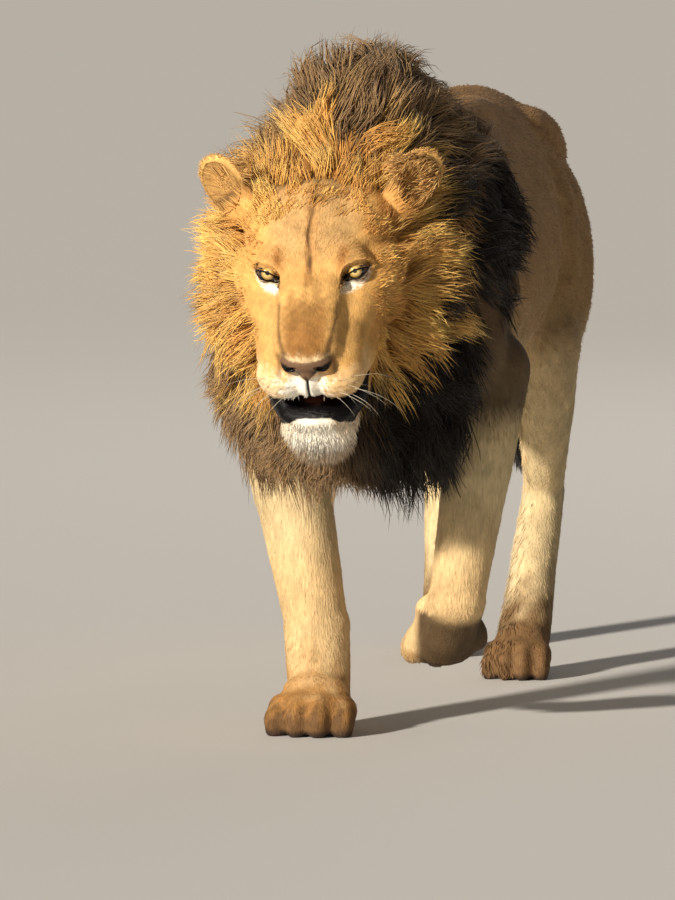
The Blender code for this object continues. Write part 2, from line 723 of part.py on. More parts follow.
def main():
    clearScene()
    lion = newCollection("lion")
    cutters = newCollection("cutters")

    body = thin(buildBody(cutters), bodyTriangles)
    flattenSoles(body)
    head = buildHead(cutters)
    ears = [thin(buildEar(cutters, side), earTriangles) for side in (1, -1)]
    nose = thin(buildNose(cutters), noseTriangles)
    mane = thin(buildMane(cutters), maneTriangles)
    tuft = thin(buildTailTuft(cutters), tuftTriangles)

    for ear in ears:
        cut(ear, swollen(head, cutters, cutGap), "DIFFERENCE")
        keepLargest(ear)
    hollow = thin(swollen(body, cutters, 0), hollowTriangles)
    cut(mane, swollen(hollow, cutters, hollowGap), "DIFFERENCE")
    bpy.data.objects.remove(hollow)
    for thing in (head, *ears):
        cut(mane, swollen(thing, cutters, cutGap), "DIFFERENCE")
    keepLargest(mane)
    cut(head, swollen(nose, cutters, cutGap), "DIFFERENCE")

    jawPlace = (headMatrix() @ jawBlock[0], jawBlock[1])
    parts = [
        part("head", head, headBlock, [jawPlace], lion),
        part("lower_jaw", head, jawPlace, [(at((0, 0.220, 0.700)), (0.800, 1.000, 1.000))], lion),
        part("neck", body, neckBlock, [headBlock], lion),
        part("trunk", body, None, [
            neckBlock, foreLegBlock, mirrored(foreLegBlock), hindLegBlock, mirrored(hindLegBlock), tailBlock,
            *forePawBlocks.values(), *hindPawBlocks.values()], lion),
        part("tail", body, tailBlock, [], lion),
    ]
    for name, wall in (("left", leftWall), ("right", rightWall)):
        front = foreLegBlock if name == "left" else mirrored(foreLegBlock)
        back = hindLegBlock if name == "left" else mirrored(hindLegBlock)
        parts.append(part("foreleg_" + name, body, front, [wall, neckBlock, forePawBlocks[name]], lion))
        parts.append(part("forepaw_" + name, body, forePawBlocks[name], [], lion))
        parts.append(part("hindleg_" + name, body, back, [wall, hindPawBlocks[name], tailBlock], lion))
        parts.append(part("hindpaw_" + name, body, hindPawBlocks[name], [], lion))
    for name, side in (("left", 1), ("right", -1)):
        eye = Matrix.Translation((eyeSpacing / 2 * side, eyeDepth, 0)) @ Matrix.Scale(eyeRadius, 4)
        parts.append(facetBall("eye_" + name, lion, headMatrix() @ eye))
    cut(tuft, swollen(parts[4], cutters, cutGap), "DIFFERENCE")
    keepLargest(tuft)
    for thing in (*ears, nose, mane, tuft):
        cutters.objects.unlink(thing)
        lion.objects.link(thing)
        parts.append(thing)
    for spare in (body, head):
        bpy.data.objects.remove(spare)
    standOnOrigin(parts)
    for thing in parts:
        paint(thing)


main()
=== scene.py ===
import math

import bmesh
import bpy
import numpy as np
from mathutils import Euler, Matrix, Vector
from mathutils.bvhtree import BVHTree


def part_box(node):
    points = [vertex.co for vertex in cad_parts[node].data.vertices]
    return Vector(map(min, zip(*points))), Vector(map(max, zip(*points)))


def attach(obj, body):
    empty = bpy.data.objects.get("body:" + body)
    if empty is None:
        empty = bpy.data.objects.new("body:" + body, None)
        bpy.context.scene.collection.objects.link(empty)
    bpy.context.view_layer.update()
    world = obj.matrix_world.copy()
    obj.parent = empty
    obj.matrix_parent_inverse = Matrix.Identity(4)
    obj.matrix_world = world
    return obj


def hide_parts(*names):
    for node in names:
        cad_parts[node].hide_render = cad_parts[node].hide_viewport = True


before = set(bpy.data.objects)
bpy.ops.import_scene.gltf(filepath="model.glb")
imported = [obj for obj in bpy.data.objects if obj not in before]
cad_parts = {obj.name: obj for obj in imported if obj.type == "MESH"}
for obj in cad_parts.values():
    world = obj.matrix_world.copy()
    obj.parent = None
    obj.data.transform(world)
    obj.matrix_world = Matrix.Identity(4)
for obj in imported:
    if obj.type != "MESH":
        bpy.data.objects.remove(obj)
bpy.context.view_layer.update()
bpy.ops.object.select_all(action="DESELECT")
print("frame loaded")

# Everything is built in the body's own frame: -Y forwards, +X the lion's left, z = 0 the floor.
# At the end each piece moves by one shift, which the left eye's solid gives.

torso = {
    "withers": 1.045, "croup": 1.008, "sternum": 0.500, "chestHalf": 0.178, "bellyHalf": 0.205, "end": 1.20,
    "triangles": 78000, "skinTriangles": 188000,
}
mouth = {"middle": (0, -0.122, -0.1465), "radii": (0.068, 0.086, 0.0118), "tilt": 4}
skull = {
    "place": (-0.033, -0.460, 0.765), "pitch": 29, "roll": -2, "yaw": 2,
    "eyeSpacing": 0.136, "eyeRadius": 0.0190, "eyeDepth": -0.004,
    "earRoot": (0.125, 0.138, 0.030), "earTurn": (-26, 40, 15),
}
# A leg's joints are given for the left side. Its paw has a width, a length and rounds of smoothing.
foreLegs = {
    "right": {"side": -1, "girth": 1.17, "shoulder": (0.148, -0.105, 0.735), "elbow": (0.190, 0.050, 0.560),
              "wrist": (0.110, 0.002, 0.165), "knuckle": (0.098, -0.040, 0.0605), "pawTurn": (0, 0, 3),
              "paw": (0.156, 0.160, 10)},
    "left": {"side": 1, "girth": 1.03, "shoulder": (0.150, -0.115, 0.735), "elbow": (0.168, 0.045, 0.580),
             "wrist": (0.121, -0.015, 0.212), "knuckle": (0.097, 0.034, 0.158), "pawTurn": (132, -10, 16),
             "paw": (0.156, 0.160, 40)},
}
hindLegs = {
    "left": {"side": 1, "hip": (0.104, 0.935, 0.830), "knee": (0.160, 0.715, 0.575),
             "hock": (0.116, 0.965, 0.300), "knuckle": (0.105, 0.812, 0.0605), "pawTurn": (0, 0, -3),
             "paw": (0.124, 0.150, 10)},
    "right": {"side": -1, "hip": (0.104, 0.950, 0.830), "knee": (0.150, 0.885, 0.510),
              "hock": (0.100, 1.225, 0.335), "knuckle": (0.080, 1.150, 0.0605), "pawTurn": (0, 0, 4),
              "paw": (0.124, 0.150, 10)},
}
liftedPaw = np.array((0.097, 0.034, 0.120))
tail = {
    "route": [(0.000, 1.120, 0.940), (-0.002, 1.195, 0.915), (-0.008, 1.265, 0.855), (-0.014, 1.318, 0.760),
              (-0.020, 1.355, 0.650), (-0.026, 1.392, 0.530), (-0.028, 1.445, 0.420), (-0.024, 1.525, 0.350),
              (-0.016, 1.610, 0.330)],
    "rootRadius": 0.040, "tipRadius": 0.013, "from": 1.24,
}
clayGrain = {   # the voxel that fuses each shape
    "bigForms": 0.009, "paw": 0.0034, "body": 0.0055, "skullMass": 0.0050, "headMass": 0.0036,
    "mouth": 0.0032, "nostrils": 0.0015, "ear": 0.0028, "earCup": 0.0028, "shadedManeWool": 0.009,
}


def turned(degrees):
    return Euler([math.radians(a) for a in degrees]).to_matrix().to_4x4()


def sideways(point, side):
    return Vector((point[0] * side, point[1], point[2]))


def joints(leg, *names):
    return [sideways(leg[name], leg["side"]) for name in names]


headTurn = Euler([math.radians(skull[a]) for a in ("pitch", "roll", "yaw")], "XYZ").to_matrix().to_4x4()
headPlace = Matrix.Translation(Vector(skull["place"])) @ headTurn
leftEye = Vector((skull["eyeSpacing"] / 2, skull["eyeDepth"], 0))
shift = (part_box("eye_left")[0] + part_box("eye_left")[1]) / 2 - headPlace @ leftEye
print("shift", [round(v, 4) for v in shift])


# Clay: a list of simple closed shapes that overlap, and are fused to one skin.

def unitShape(make, **options):
    shape = bmesh.new()
    make(shape, **options)
    found = ([v.co.copy() for v in shape.verts], [[v.index for v in f.verts] for f in shape.faces])
    shape.free()
    return found


unitBall = unitShape(bmesh.ops.create_uvsphere, u_segments=28, v_segments=18, radius=1)
unitDrum = unitShape(bmesh.ops.create_cone, cap_ends=True, segments=28, radius1=1, radius2=1, depth=1)


def ball(clay, centre, radii, turn=(0, 0, 0)):
    place = Matrix.Translation(Vector(centre)) @ turned(turn) @ Matrix.Diagonal((*radii, 1))
    clay.append(([place @ point for point in unitBall[0]], unitBall[1]))


def pair(clay, centre, radii, turn=(0, 0, 0)):
    for side in (1, -1):
        ball(clay, sideways(centre, side), radii, (turn[0], turn[1] * side, turn[2] * side))


def alongMatrix(start, end):
    along = (Vector(end) - Vector(start)).normalized()
    across = Vector((1, 0, 0)) - along * along.x
    if across.length < 1e-3:
        across = Vector((0, 0, 1))
    across.normalize()
    return Matrix((across, along.cross(across), along)).transposed().to_4x4()


def muscle(clay, start, end, thick, wide, stretch=1.12):
    start, end = Vector(start), Vector(end)
    place = Matrix.Translation((start + end) / 2) @ alongMatrix(start, end)
    place = place @ Matrix.Diagonal((thick, wide, (end - start).length / 2 * stretch, 1))
    clay.append(([place @ point for point in unitBall[0]], unitBall[1]))


def rod(clay, start, end, startRadius, endRadius, squeeze=1.0):
    start, end = Vector(start), Vector(end)
    turn = alongMatrix(start, end)
    place = Matrix.Translation((start + end) / 2) @ turn
    long = (end - start).length
    taper = []
    for point in unitDrum[0]:
        radius = startRadius if point.z < 0 else endRadius
        taper.append(place @ Vector((point.x * radius, point.y * radius * squeeze, point.z * long)))
    clay.append((taper, unitDrum[1]))
    for centre, radius in ((start, startRadius), (end, endRadius)):
        place = Matrix.Translation(centre) @ turn @ Matrix.Diagonal((radius, radius * squeeze, radius, 1))
        clay.append(([place @ point for point in unitBall[0]], unitBall[1]))


def loft(clay, stations):
    around, points, faces = 32, [], []
    for y, top, bottom, half, middle in stations:
        for step in range(around):
            angle = math.tau * step / around
            up = math.cos(angle)
            out = math.sin(angle) * (1 - 0.10 * up)
            points.append(Vector((middle + half * out, y, (top + bottom) / 2 + (top - bottom) / 2 * up)))
    for ring in range(len(stations) - 1):
        for step in range(around):
            here, after = ring * around + step, ring * around + (step + 1) % around
            faces.append([here, here + around, after + around, after])
    faces.append(list(range(around)))
    faces.append(list(range(len(points) - 1, len(points) - 1 - around, -1)))
    clay.append((points, faces))


def addObject(name, data):
    made = bpy.data.objects.new(name, data)
    bpy.context.scene.collection.objects.link(made)
    return made


def applyAll(thing):
    bpy.ops.object.select_all(action="DESELECT")
    thing.select_set(True)
    bpy.context.view_layer.objects.active = thing
    for modifier in list(thing.modifiers):
        bpy.ops.object.modifier_apply(modifier=modifier.name)
    thing.select_set(False)
    return thing


def pour(clay, thing, place=Matrix.Identity(4)):
    points = [place @ v.co for v in thing.data.vertices]
    clay.append((points, [list(f.vertices) for f in thing.data.polygons]))
    bpy.data.objects.remove(thing)


def fuse(name, clay, rounds):
    points, faces = [], []
    for shapePoints, shapeFaces in clay:
        faces += [[corner + len(points) for corner in face] for face in shapeFaces]
        points += shapePoints
    mesh = bpy.data.meshes.new(name)
    mesh.from_pydata(points, [], faces)
    made = addObject(name, mesh)
    remesh = made.modifiers.new("fuse", "REMESH")
    remesh.mode = "VOXEL"
    remesh.voxel_size = clayGrain[name]
    if rounds:
        soften = made.modifiers.new("soften", "SMOOTH")
        soften.factor = 0.5
        soften.iterations = rounds
    return applyAll(made)


def cut(thing, cutter, operation="DIFFERENCE"):
    boolean = thing.modifiers.new(operation.lower(), "BOOLEAN")
    boolean.operation = operation
    boolean.object = cutter
    boolean.solver = "MANIFOLD"
    applyAll(thing)
    bpy.data.objects.remove(cutter)
    return thing


def thin(thing, triangles):
    thing.data.calc_loop_triangles()
    decimate = thing.modifiers.new("thin", "DECIMATE")
    decimate.ratio = min(1, triangles / len(thing.data.loop_triangles))
    decimate.use_collapse_triangulate = True
    return applyAll(thing)


# The body's masses: trunk, neck, shoulders, haunches, legs and paws.

def trunkClay(clay):
    withers, croup, sternum = torso["withers"], torso["croup"], torso["sternum"]
    loft(clay, [   # place along the body, top, bottom, half width, middle
        (-0.185, 0.840, 0.640, 0.070, 0), (-0.150, 0.920, 0.575, 0.115, 0), (-0.070, 1.000, 0.525, 0.150, 0),
        (0.030, withers - 0.006, sternum, torso["chestHalf"], 0),
        (0.150, withers - 0.010, sternum - 0.010, 0.190, 0), (0.300, 1.012, sternum - 0.008, 0.204, 0),
        (0.450, croup - 0.008, 0.500, torso["bellyHalf"], 0), (0.600, croup - 0.010, 0.520, 0.200, 0),
        (0.740, croup, 0.556, 0.184, 0), (0.880, croup + 0.004, 0.606, 0.166, 0),
        (1.020, croup - 0.012, 0.656, 0.148, 0), (1.120, 0.962, 0.705, 0.112, 0),
        (torso["end"], 0.915, 0.790, 0.058, 0),
    ])
    pair(clay, (0.046, 0.060, 0.972), (0.048, 0.125, 0.076), (8, 0, 0))
    pair(clay, (0.040, 0.520, 0.968), (0.055, 0.260, 0.036))
    ball(clay, (0, 0.020, 0.560), (0.105, 0.170, 0.085))
    pair(clay, (0.062, -0.125, 0.655), (0.080, 0.075, 0.100))
    route, thick = tail["route"], tail["rootRadius"]
    rod(clay, route[0], route[1], thick * 1.12, thick * 1.12 * 0.94)
    rod(clay, route[1], route[2], thick, thick * 0.94)


def neckClay(clay):
    loft(clay, [
        (-0.330, 0.900, 0.700, 0.095, -0.030), (-0.270, 0.945, 0.655, 0.120, -0.026),
        (-0.200, 0.985, 0.630, 0.132, -0.018), (-0.110, 1.020, 0.620, 0.142, -0.008),
        (0.000, 1.035, 0.620, 0.150, 0), (0.080, 1.030, 0.640, 0.140, 0),
    ])


def offsets(leg):
    # short moves from a joint, mirrored for the right side
    return lambda x, y, z: Vector((x * leg["side"], y, z))


def shoulderClay(clay, leg):
    off = offsets(leg)
    shoulder, elbow = joints(leg, "shoulder", "elbow")
    blade = off(0.098, 0.065, 0.975)
    muscle(clay, blade, shoulder, 0.064, 0.098, 1.15)
    muscle(clay, blade + off(0.026, 0.06, -0.10), elbow + off(-0.008, 0.018, 0.045), 0.062, 0.100, 1.15)
    muscle(clay, shoulder + off(0, -0.01, 0.03), elbow + off(-0.012, -0.045, -0.01), 0.060, 0.070, 1.25)
    ball(clay, shoulder + off(-0.010, 0, 0), (0.058, 0.066, 0.078))


def foreArmClay(clay, leg):
    off, girth = offsets(leg), leg["girth"]
    elbow, wrist = joints(leg, "elbow", "wrist")
    down = (wrist - elbow).normalized()
    middle = elbow.lerp(wrist, 0.45)
    rod(clay, elbow, middle, 0.066 * girth, 0.058 * girth, 1.12)
    rod(clay, middle, wrist, 0.056 * girth, 0.046 * girth, 1.02)
    outer = elbow.lerp(wrist, 0.70) + off(0.008, 0, 0)
    muscle(clay, elbow + off(0.016, -0.026, 0.02), outer, 0.050 * girth, 0.052)
    inner = elbow.lerp(wrist, 0.64) + off(-0.010, 0, 0)
    muscle(clay, elbow + off(-0.020, 0.012, 0), inner, 0.050 * girth, 0.050)
    ball(clay, elbow + off(0.002, 0.054, 0.030), (0.032, 0.036, 0.048))
    ball(clay, wrist - down * 0.006, (0.0485 * girth, 0.046, 0.046))
    ball(clay, wrist + off(0.010, 0.036, -0.002), (0.020, 0.020, 0.024))


def haunchClay(clay, leg):
    off = offsets(leg)
    hip, knee, hock = joints(leg, "hip", "knee", "hock")
    seat, crest = off(0.074, 1.125, 0.845), off(0.096, 0.785, 0.925)
    muscle(clay, crest + off(0, 0, -0.012), seat + off(0, 0, 0.018), 0.074, 0.084, 1.12)
    muscle(clay, hip + off(0.012, 0, 0.03), knee + off(-0.006, 0.03, -0.01), 0.088, 0.132, 1.22)
    muscle(clay, crest + off(0.024, 0.03, -0.025), knee + off(0, 0, 0.01), 0.072, 0.090, 1.12)
    back = knee.lerp(hock, 0.30) + off(0, 0.03, 0)
    muscle(clay, seat + off(0.018, -0.01, 0), back, 0.072, 0.100, 1.12)
    inner = knee.lerp(hock, 0.25) + off(-0.025, 0, 0)
    muscle(clay, hip + off(-0.02, 0.02, 0), inner, 0.062, 0.112, 1.05)
    ball(clay, knee, (0.060, 0.066, 0.070))


def shankClay(clay, leg):
    off = offsets(leg)
    knee, hock, knuckle = joints(leg, "knee", "hock", "knuckle")
    rod(clay, knee, knee.lerp(hock, 0.5), 0.060, 0.050, 1.18)
    rod(clay, knee.lerp(hock, 0.5), hock, 0.049, 0.036, 1.05)
    muscle(clay, knee + off(0, 0.050, 0), knee.lerp(hock, 0.70) + off(0, 0.036, 0.01), 0.048, 0.060)
    heel = hock + (hock - knuckle).normalized() * 0.026 + off(0, 0.022, 0)
    rod(clay, knee.lerp(hock, 0.62) + off(0, 0.046, 0), heel, 0.024, 0.022)
    rod(clay, heel, hock.lerp(knuckle, 0.25) + off(0, 0.012, 0), 0.026, 0.030)
    ball(clay, hock, (0.040, 0.044, 0.042))
    rod(clay, hock, knuckle, 0.039, 0.046, 1.10)


def pawClay(clay, wide, long):
    sole = -0.062
    ball(clay, (0, -0.022, sole + 0.040), (wide * 0.38, long * 0.30, 0.040))
    ball(clay, (0, 0.006, sole + 0.026), (wide * 0.31, long * 0.22, 0.032))
    for step, (reach, lift) in enumerate(((0.70, 0.000), (0.86, 0.004), (0.86, 0.004), (0.68, 0.000))):
        across = (step - 1.5) / 1.5
        toe = Vector((across * wide * 0.345, -long * reach * 0.62, sole + 0.026 + lift))
        knuckle = toe + Vector((-across * 0.004, 0.026, 0.013))
        fan = 11 * across
        ball(clay, knuckle, (wide * 0.142, long * 0.23, 0.027), (-18, 0, fan))
        ball(clay, toe, (wide * 0.132, long * 0.175, 0.026), (-6, 0, fan))
        ball(clay, toe + Vector((0, -0.004, -0.014)), (wide * 0.115, long * 0.140, 0.018), (0, 0, fan))
    ball(clay, (0, -long * 0.27, sole + 0.047), (wide * 0.41, long * 0.27, 0.026), (-16, 0, 0))
    ball(clay, (0, -long * 0.13, sole + 0.066), (wide * 0.36, long * 0.27, 0.032), (-30, 0, 0))
    ball(clay, (0, 0.010, sole + 0.010), (wide * 0.30, long * 0.22, 0.014))


def pawTurn(leg):
    tilt, roll, yaw = leg["pawTurn"]
    return turned((tilt, roll * leg["side"], yaw * leg["side"]))


def pourPaw(clay, leg):
    wide, long, rounds = leg["paw"]
    own = []
    pawClay(own, wide, long)
    pour(clay, fuse("paw", own, rounds), Matrix.Translation(joints(leg, "knuckle")[0]) @ pawTurn(leg))


def buildBody():
    clay = []
    trunkClay(clay)
    neckClay(clay)
    for leg in foreLegs.values():
        shoulderClay(clay, leg)
        foreArmClay(clay, leg)
    for leg in hindLegs.values():
        haunchClay(clay, leg)
        shankClay(clay, leg)
    big = fuse("bigForms", clay, 8)
    clay = []
    for leg in foreLegs.values():
        rod(clay, *joints(leg, "wrist", "knuckle"), 0.0485 * leg["girth"], 0.050, 0.94)
        pourPaw(clay, leg)
    for leg in hindLegs.values():
        pourPaw(clay, leg)
    route, root, tip = tail["route"], tail["rootRadius"], tail["tipRadius"]
    count = len(route) - 1
    for step in range(1, count):
        here, there = (root + (tip - root) * (s / count) ** 0.7 for s in (step, step + 1))
        rod(clay, route[step], route[step + 1], here, there)
    pour(clay, big)
    return fuse("body", clay, 2)


# The head, in its own frame: the origin is midway between the eyes and the muzzle points along -Y.

def skullClay(clay):
    ball(clay, (0, 0.112, 0.000), (0.104, 0.115, 0.084))
    ball(clay, (0, 0.046, 0.014), (0.086, 0.086, 0.052), (14, 0, 0))
    pair(clay, (0.056, 0.112, 0.018), (0.062, 0.090, 0.056))
    pair(clay, (0.084, 0.052, -0.036), (0.050, 0.080, 0.050), (0, 0, -12))
    pair(clay, (0.082, 0.088, -0.084), (0.054, 0.076, 0.074))
    pair(clay, (0.068, -0.010, -0.052), (0.042, 0.066, 0.042), (0, 0, -16))
    pair(clay, (0.050, 0.004, 0.018), (0.044, 0.036, 0.024), (14, 14, -14))
    for side in (1, -1):
        rod(clay, (0.026 * side, 0.024, 0.008), (0.024 * side, -0.136, -0.054), 0.034, 0.029)
        rod(clay, (0.040 * side, 0.000, -0.056), (0.040 * side, -0.110, -0.092), 0.052, 0.045)
    rod(clay, (0, 0.020, 0.012), (0, -0.136, -0.048), 0.034, 0.028)
    ball(clay, (0, 0.060, -0.120), (0.080, 0.110, 0.078))
    ball(clay, (0, 0.180, -0.030), (0.090, 0.080, 0.098))


def faceClay(clay):
    pair(clay, (0.056, -0.004, 0.024), (0.034, 0.026, 0.014), (12, 12, -14))
    ball(clay, (0, -0.148, -0.058), (0.040, 0.026, 0.028), (20, 0, 0))
    pair(clay, (0.042, -0.124, -0.106), (0.044, 0.046, 0.038), (8, 0, -12))
    pair(clay, (0.062, -0.068, -0.114), (0.032, 0.066, 0.036), (4, 0, -16))
    ball(clay, (0, -0.140, -0.104), (0.026, 0.030, 0.034))
    pair(clay, (0.074, -0.008, -0.118), (0.030, 0.056, 0.036), (0, 0, -12))


def jawClay(clay):
    ball(clay, (0, -0.106, -0.198), (0.060, 0.044, 0.034), (10, 0, 0))
    ball(clay, (0, -0.122, -0.178), (0.060, 0.036, 0.020), (6, 0, 0))
    ball(clay, (0, -0.098, -0.228), (0.046, 0.034, 0.038))
    pair(clay, (0.054, -0.080, -0.174), (0.024, 0.060, 0.028), (8, 0, -16))
    for side in (1, -1):
        rod(clay, (0.036 * side, -0.080, -0.184), (0.076 * side, 0.080, -0.130), 0.034, 0.040)
    ball(clay, (0, 0.020, -0.165), (0.066, 0.100, 0.045), (12, 0, 0))


def noseClay(clay):
    ball(clay, (0, -0.162, -0.062), (0.035, 0.017, 0.016), (24, 0, 0))
    pair(clay, (0.024, -0.157, -0.067), (0.019, 0.017, 0.015), (20, 18, 0))
    ball(clay, (0, -0.162, -0.081), (0.014, 0.013, 0.014))


def earTurn(side):
    tilt, lean, yaw = skull["earTurn"]
    return turned((0, lean * side, 0)) @ turned((tilt, 0, 0)) @ turned((0, 0, yaw * side))


def buildEar(side):
    clay, cup = [], []
    ball(clay, (0, 0.004, 0.050), (0.0425, 0.0145, 0.0495))
    ball(clay, (0, 0.008, 0.006), (0.037, 0.027, 0.043))
    ear = fuse("ear", clay, 4)
    ball(cup, (0, -0.014, 0.051), (0.036, 0.020, 0.042))
    cut(ear, fuse("earCup", cup, 1))
    ear.data.transform(Matrix.Translation(sideways(skull["earRoot"], side)) @ earTurn(side))
    return ear


def buildHead():
    clay = []
    skullClay(clay)
    skullMass = fuse("skullMass", clay, 9)
    clay = []
    faceClay(clay)
    jawClay(clay)
    noseClay(clay)
    pour(clay, skullMass)
    made = fuse("headMass", clay, 5)
    clay = []
    ball(clay, mouth["middle"], mouth["radii"], (mouth["tilt"], 0, 0))
    ball(clay, (0, -0.150, -0.1425), (0.026, 0.050, 0.0140), (mouth["tilt"], 0, 0))
    cut(made, fuse("mouth", clay, 1))
    holes = []
    pair(holes, (0.0235, -0.177, -0.0715), (0.0125, 0.011, 0.0052), (20, 30, 0))
    cut(made, fuse("nostrils", holes, 1))
    for side in (1, -1):
        cut(made, buildEar(side), "UNION")
    return made


# Number work on many points at once.

def unit(v):
    return v / np.maximum(np.linalg.norm(v, axis=-1, keepdims=True), 1e-9)


def ramp(low, high, x):
    t = np.clip((x - low) / (high - low), 0, 1)
    return t * t * (3 - 2 * t)


def between(x, start, full, ebb, end):
    # rises from start to full, and falls again from ebb to end
    return ramp(start, full, x) * ramp(end, ebb, x)


def ridge(x, middle, width):
    return np.exp(-((x - middle) / width) ** 2)


def blob(p, centre, radii):
    return np.exp(-(((p - np.array(centre)) / np.array(radii)) ** 2).sum(axis=-1))


def arrows(x, y, z):
    return np.stack(np.broadcast_arrays(x, y, z), axis=1).astype(float)


def ripple(p, pitch, seed, waves=7):
    dice = np.random.default_rng(seed)
    total = np.zeros(len(p))
    for _ in range(waves):
        way = dice.normal(size=3)
        way *= dice.uniform(0.6, 1.5) * math.tau / pitch / np.linalg.norm(way)
        total += np.sin(p @ way + dice.uniform(0, math.tau))
    return total / math.sqrt(waves * 0.5)


def fromScreen(*colour):
    # a colour as the eye names it, 0 to 255, to linear light
    c = np.array(colour, float) / 255
    return np.where(c <= 0.04045, c / 12.92, ((c + 0.055) / 1.055) ** 2.4)


def mixed(a, b, share):
    share = np.asarray(share)[..., None]
    return a * (1 - share) + b * share


headAxes = np.array(headTurn.to_3x3())
headOrigin = np.array(skull["place"])


def toHead(p):
    return (p - headOrigin) @ headAxes


def fromHead(q):
    return q @ headAxes.T + headOrigin


def wayFromHead(v):
    return fromHead(v) - headOrigin


def folded(q):
    # both halves of the face as one, x counted from the middle
    return np.abs(q[:, 0]), q[:, 1], q[:, 2]


def toEar(q, side):
    # head-frame points in an ear's own frame
    return (q - np.array(sideways(skull["earRoot"], side))) @ np.array(earTurn(side).to_3x3())


def readAll(source, kind, width=3, sort=np.float32):
    values = np.empty(len(source) * width, sort)
    source.foreach_get(kind, values)
    return values.reshape(-1, width)


def pointsOf(thing):
    return readAll(thing.data.vertices, "co").astype(float)


def normalsOf(thing):
    return readAll(thing.data.vertex_normals, "vector").astype(float)


def setPoints(thing, p):
    thing.data.vertices.foreach_set("co", p.astype(np.float32).ravel())
    thing.data.update()


def shadeFaces(thing, smooth):
    thing.data.polygons.foreach_set("use_smooth", np.full(len(thing.data.polygons), smooth))


def setTone(thing, name, values):
    # a colour or one number at each point
    if values.ndim == 1:
        layer, kind = thing.data.attributes.new(name, "FLOAT", "POINT"), "value"
    else:
        layer, kind = thing.data.attributes.new(name, "FLOAT_COLOR", "POINT"), "color"
        values = np.concatenate([values, np.ones((len(values), 1))], axis=1)
    layer.data.foreach_set(kind, values.astype(np.float32).ravel())


# The face's fine forms. Each is a depth along the head's own directions.

lids = {
    "halfLong": 0.0200, "upper": 0.0045, "lower": 0.0074, "tilt": 12, "rise": 0.36, "outward": 0.17,
    "thick": 0.0026,
}


def lidFrame(side):
    forward = Vector((lids["outward"] * side, -1, lids["rise"])).normalized()
    inward = Vector((0, 0, 1)).cross(-forward).normalized() * side
    up = (-forward).cross(inward * side).normalized()
    across = -inward   # towards the outer corner
    tilt = math.radians(lids["tilt"])
    long = across * math.cos(tilt) + up * math.sin(tilt)
    return np.array(forward), np.array(long), np.array(up * math.cos(tilt) - across * math.sin(tilt))


def lidDistance(q, side):
    # how far a head-frame point is outside the almond opening, and its place in the eye's own frame
    forward, long, up = lidFrame(side)
    rel = q - np.array(sideways(leftEye, side))
    u, v, w = rel @ long, rel @ up, rel @ forward
    a = lids["halfLong"]
    v = v + 22 * np.minimum(u + 0.005, 0) ** 2   # the inner corner hooks down
    crown = np.clip(1 - (u / a) ** 2, -3, 1)
    skew = 1 + 0.25 * u / a
    gap = np.maximum(v - lids["upper"] * crown * skew, -v - lids["lower"] * crown * (2 - skew))
    return np.where(w > -0.002, gap, 0.08), u, v, w


def refine(thing, rounds):
    # smaller faces round the eyes, the nose and the mouth, and up the middle of the forehead
    for reach in rounds:
        shape = bmesh.new()
        shape.from_mesh(thing.data)
        bmesh.ops.triangulate(shape, faces=shape.faces[:])
        centres = np.array([f.calc_center_median() for f in shape.faces])
        x, y, z = folded(centres)
        near = (x < reach) & (z > -0.012) & (y < 0.11)
        near |= (x < 0.030 + reach) & (y < -0.135) & (z < -0.03) & (z > -0.130 - reach)
        for side in (1, -1):
            gap, u, _, w = lidDistance(centres, side)
            near |= (gap < reach) & (np.abs(u) < 0.026 + reach) & (w > 0.002) & (w < 0.045)
        shape.faces.ensure_lookup_table()
        edges = list({e for i in np.nonzero(near)[0] for e in shape.faces[i].edges})
        bmesh.ops.subdivide_edges(shape, edges=edges, cuts=1)
        bmesh.ops.triangulate(shape, faces=[f for f in shape.faces if len(f.verts) > 4])
        shape.to_mesh(thing.data)
        shape.free()


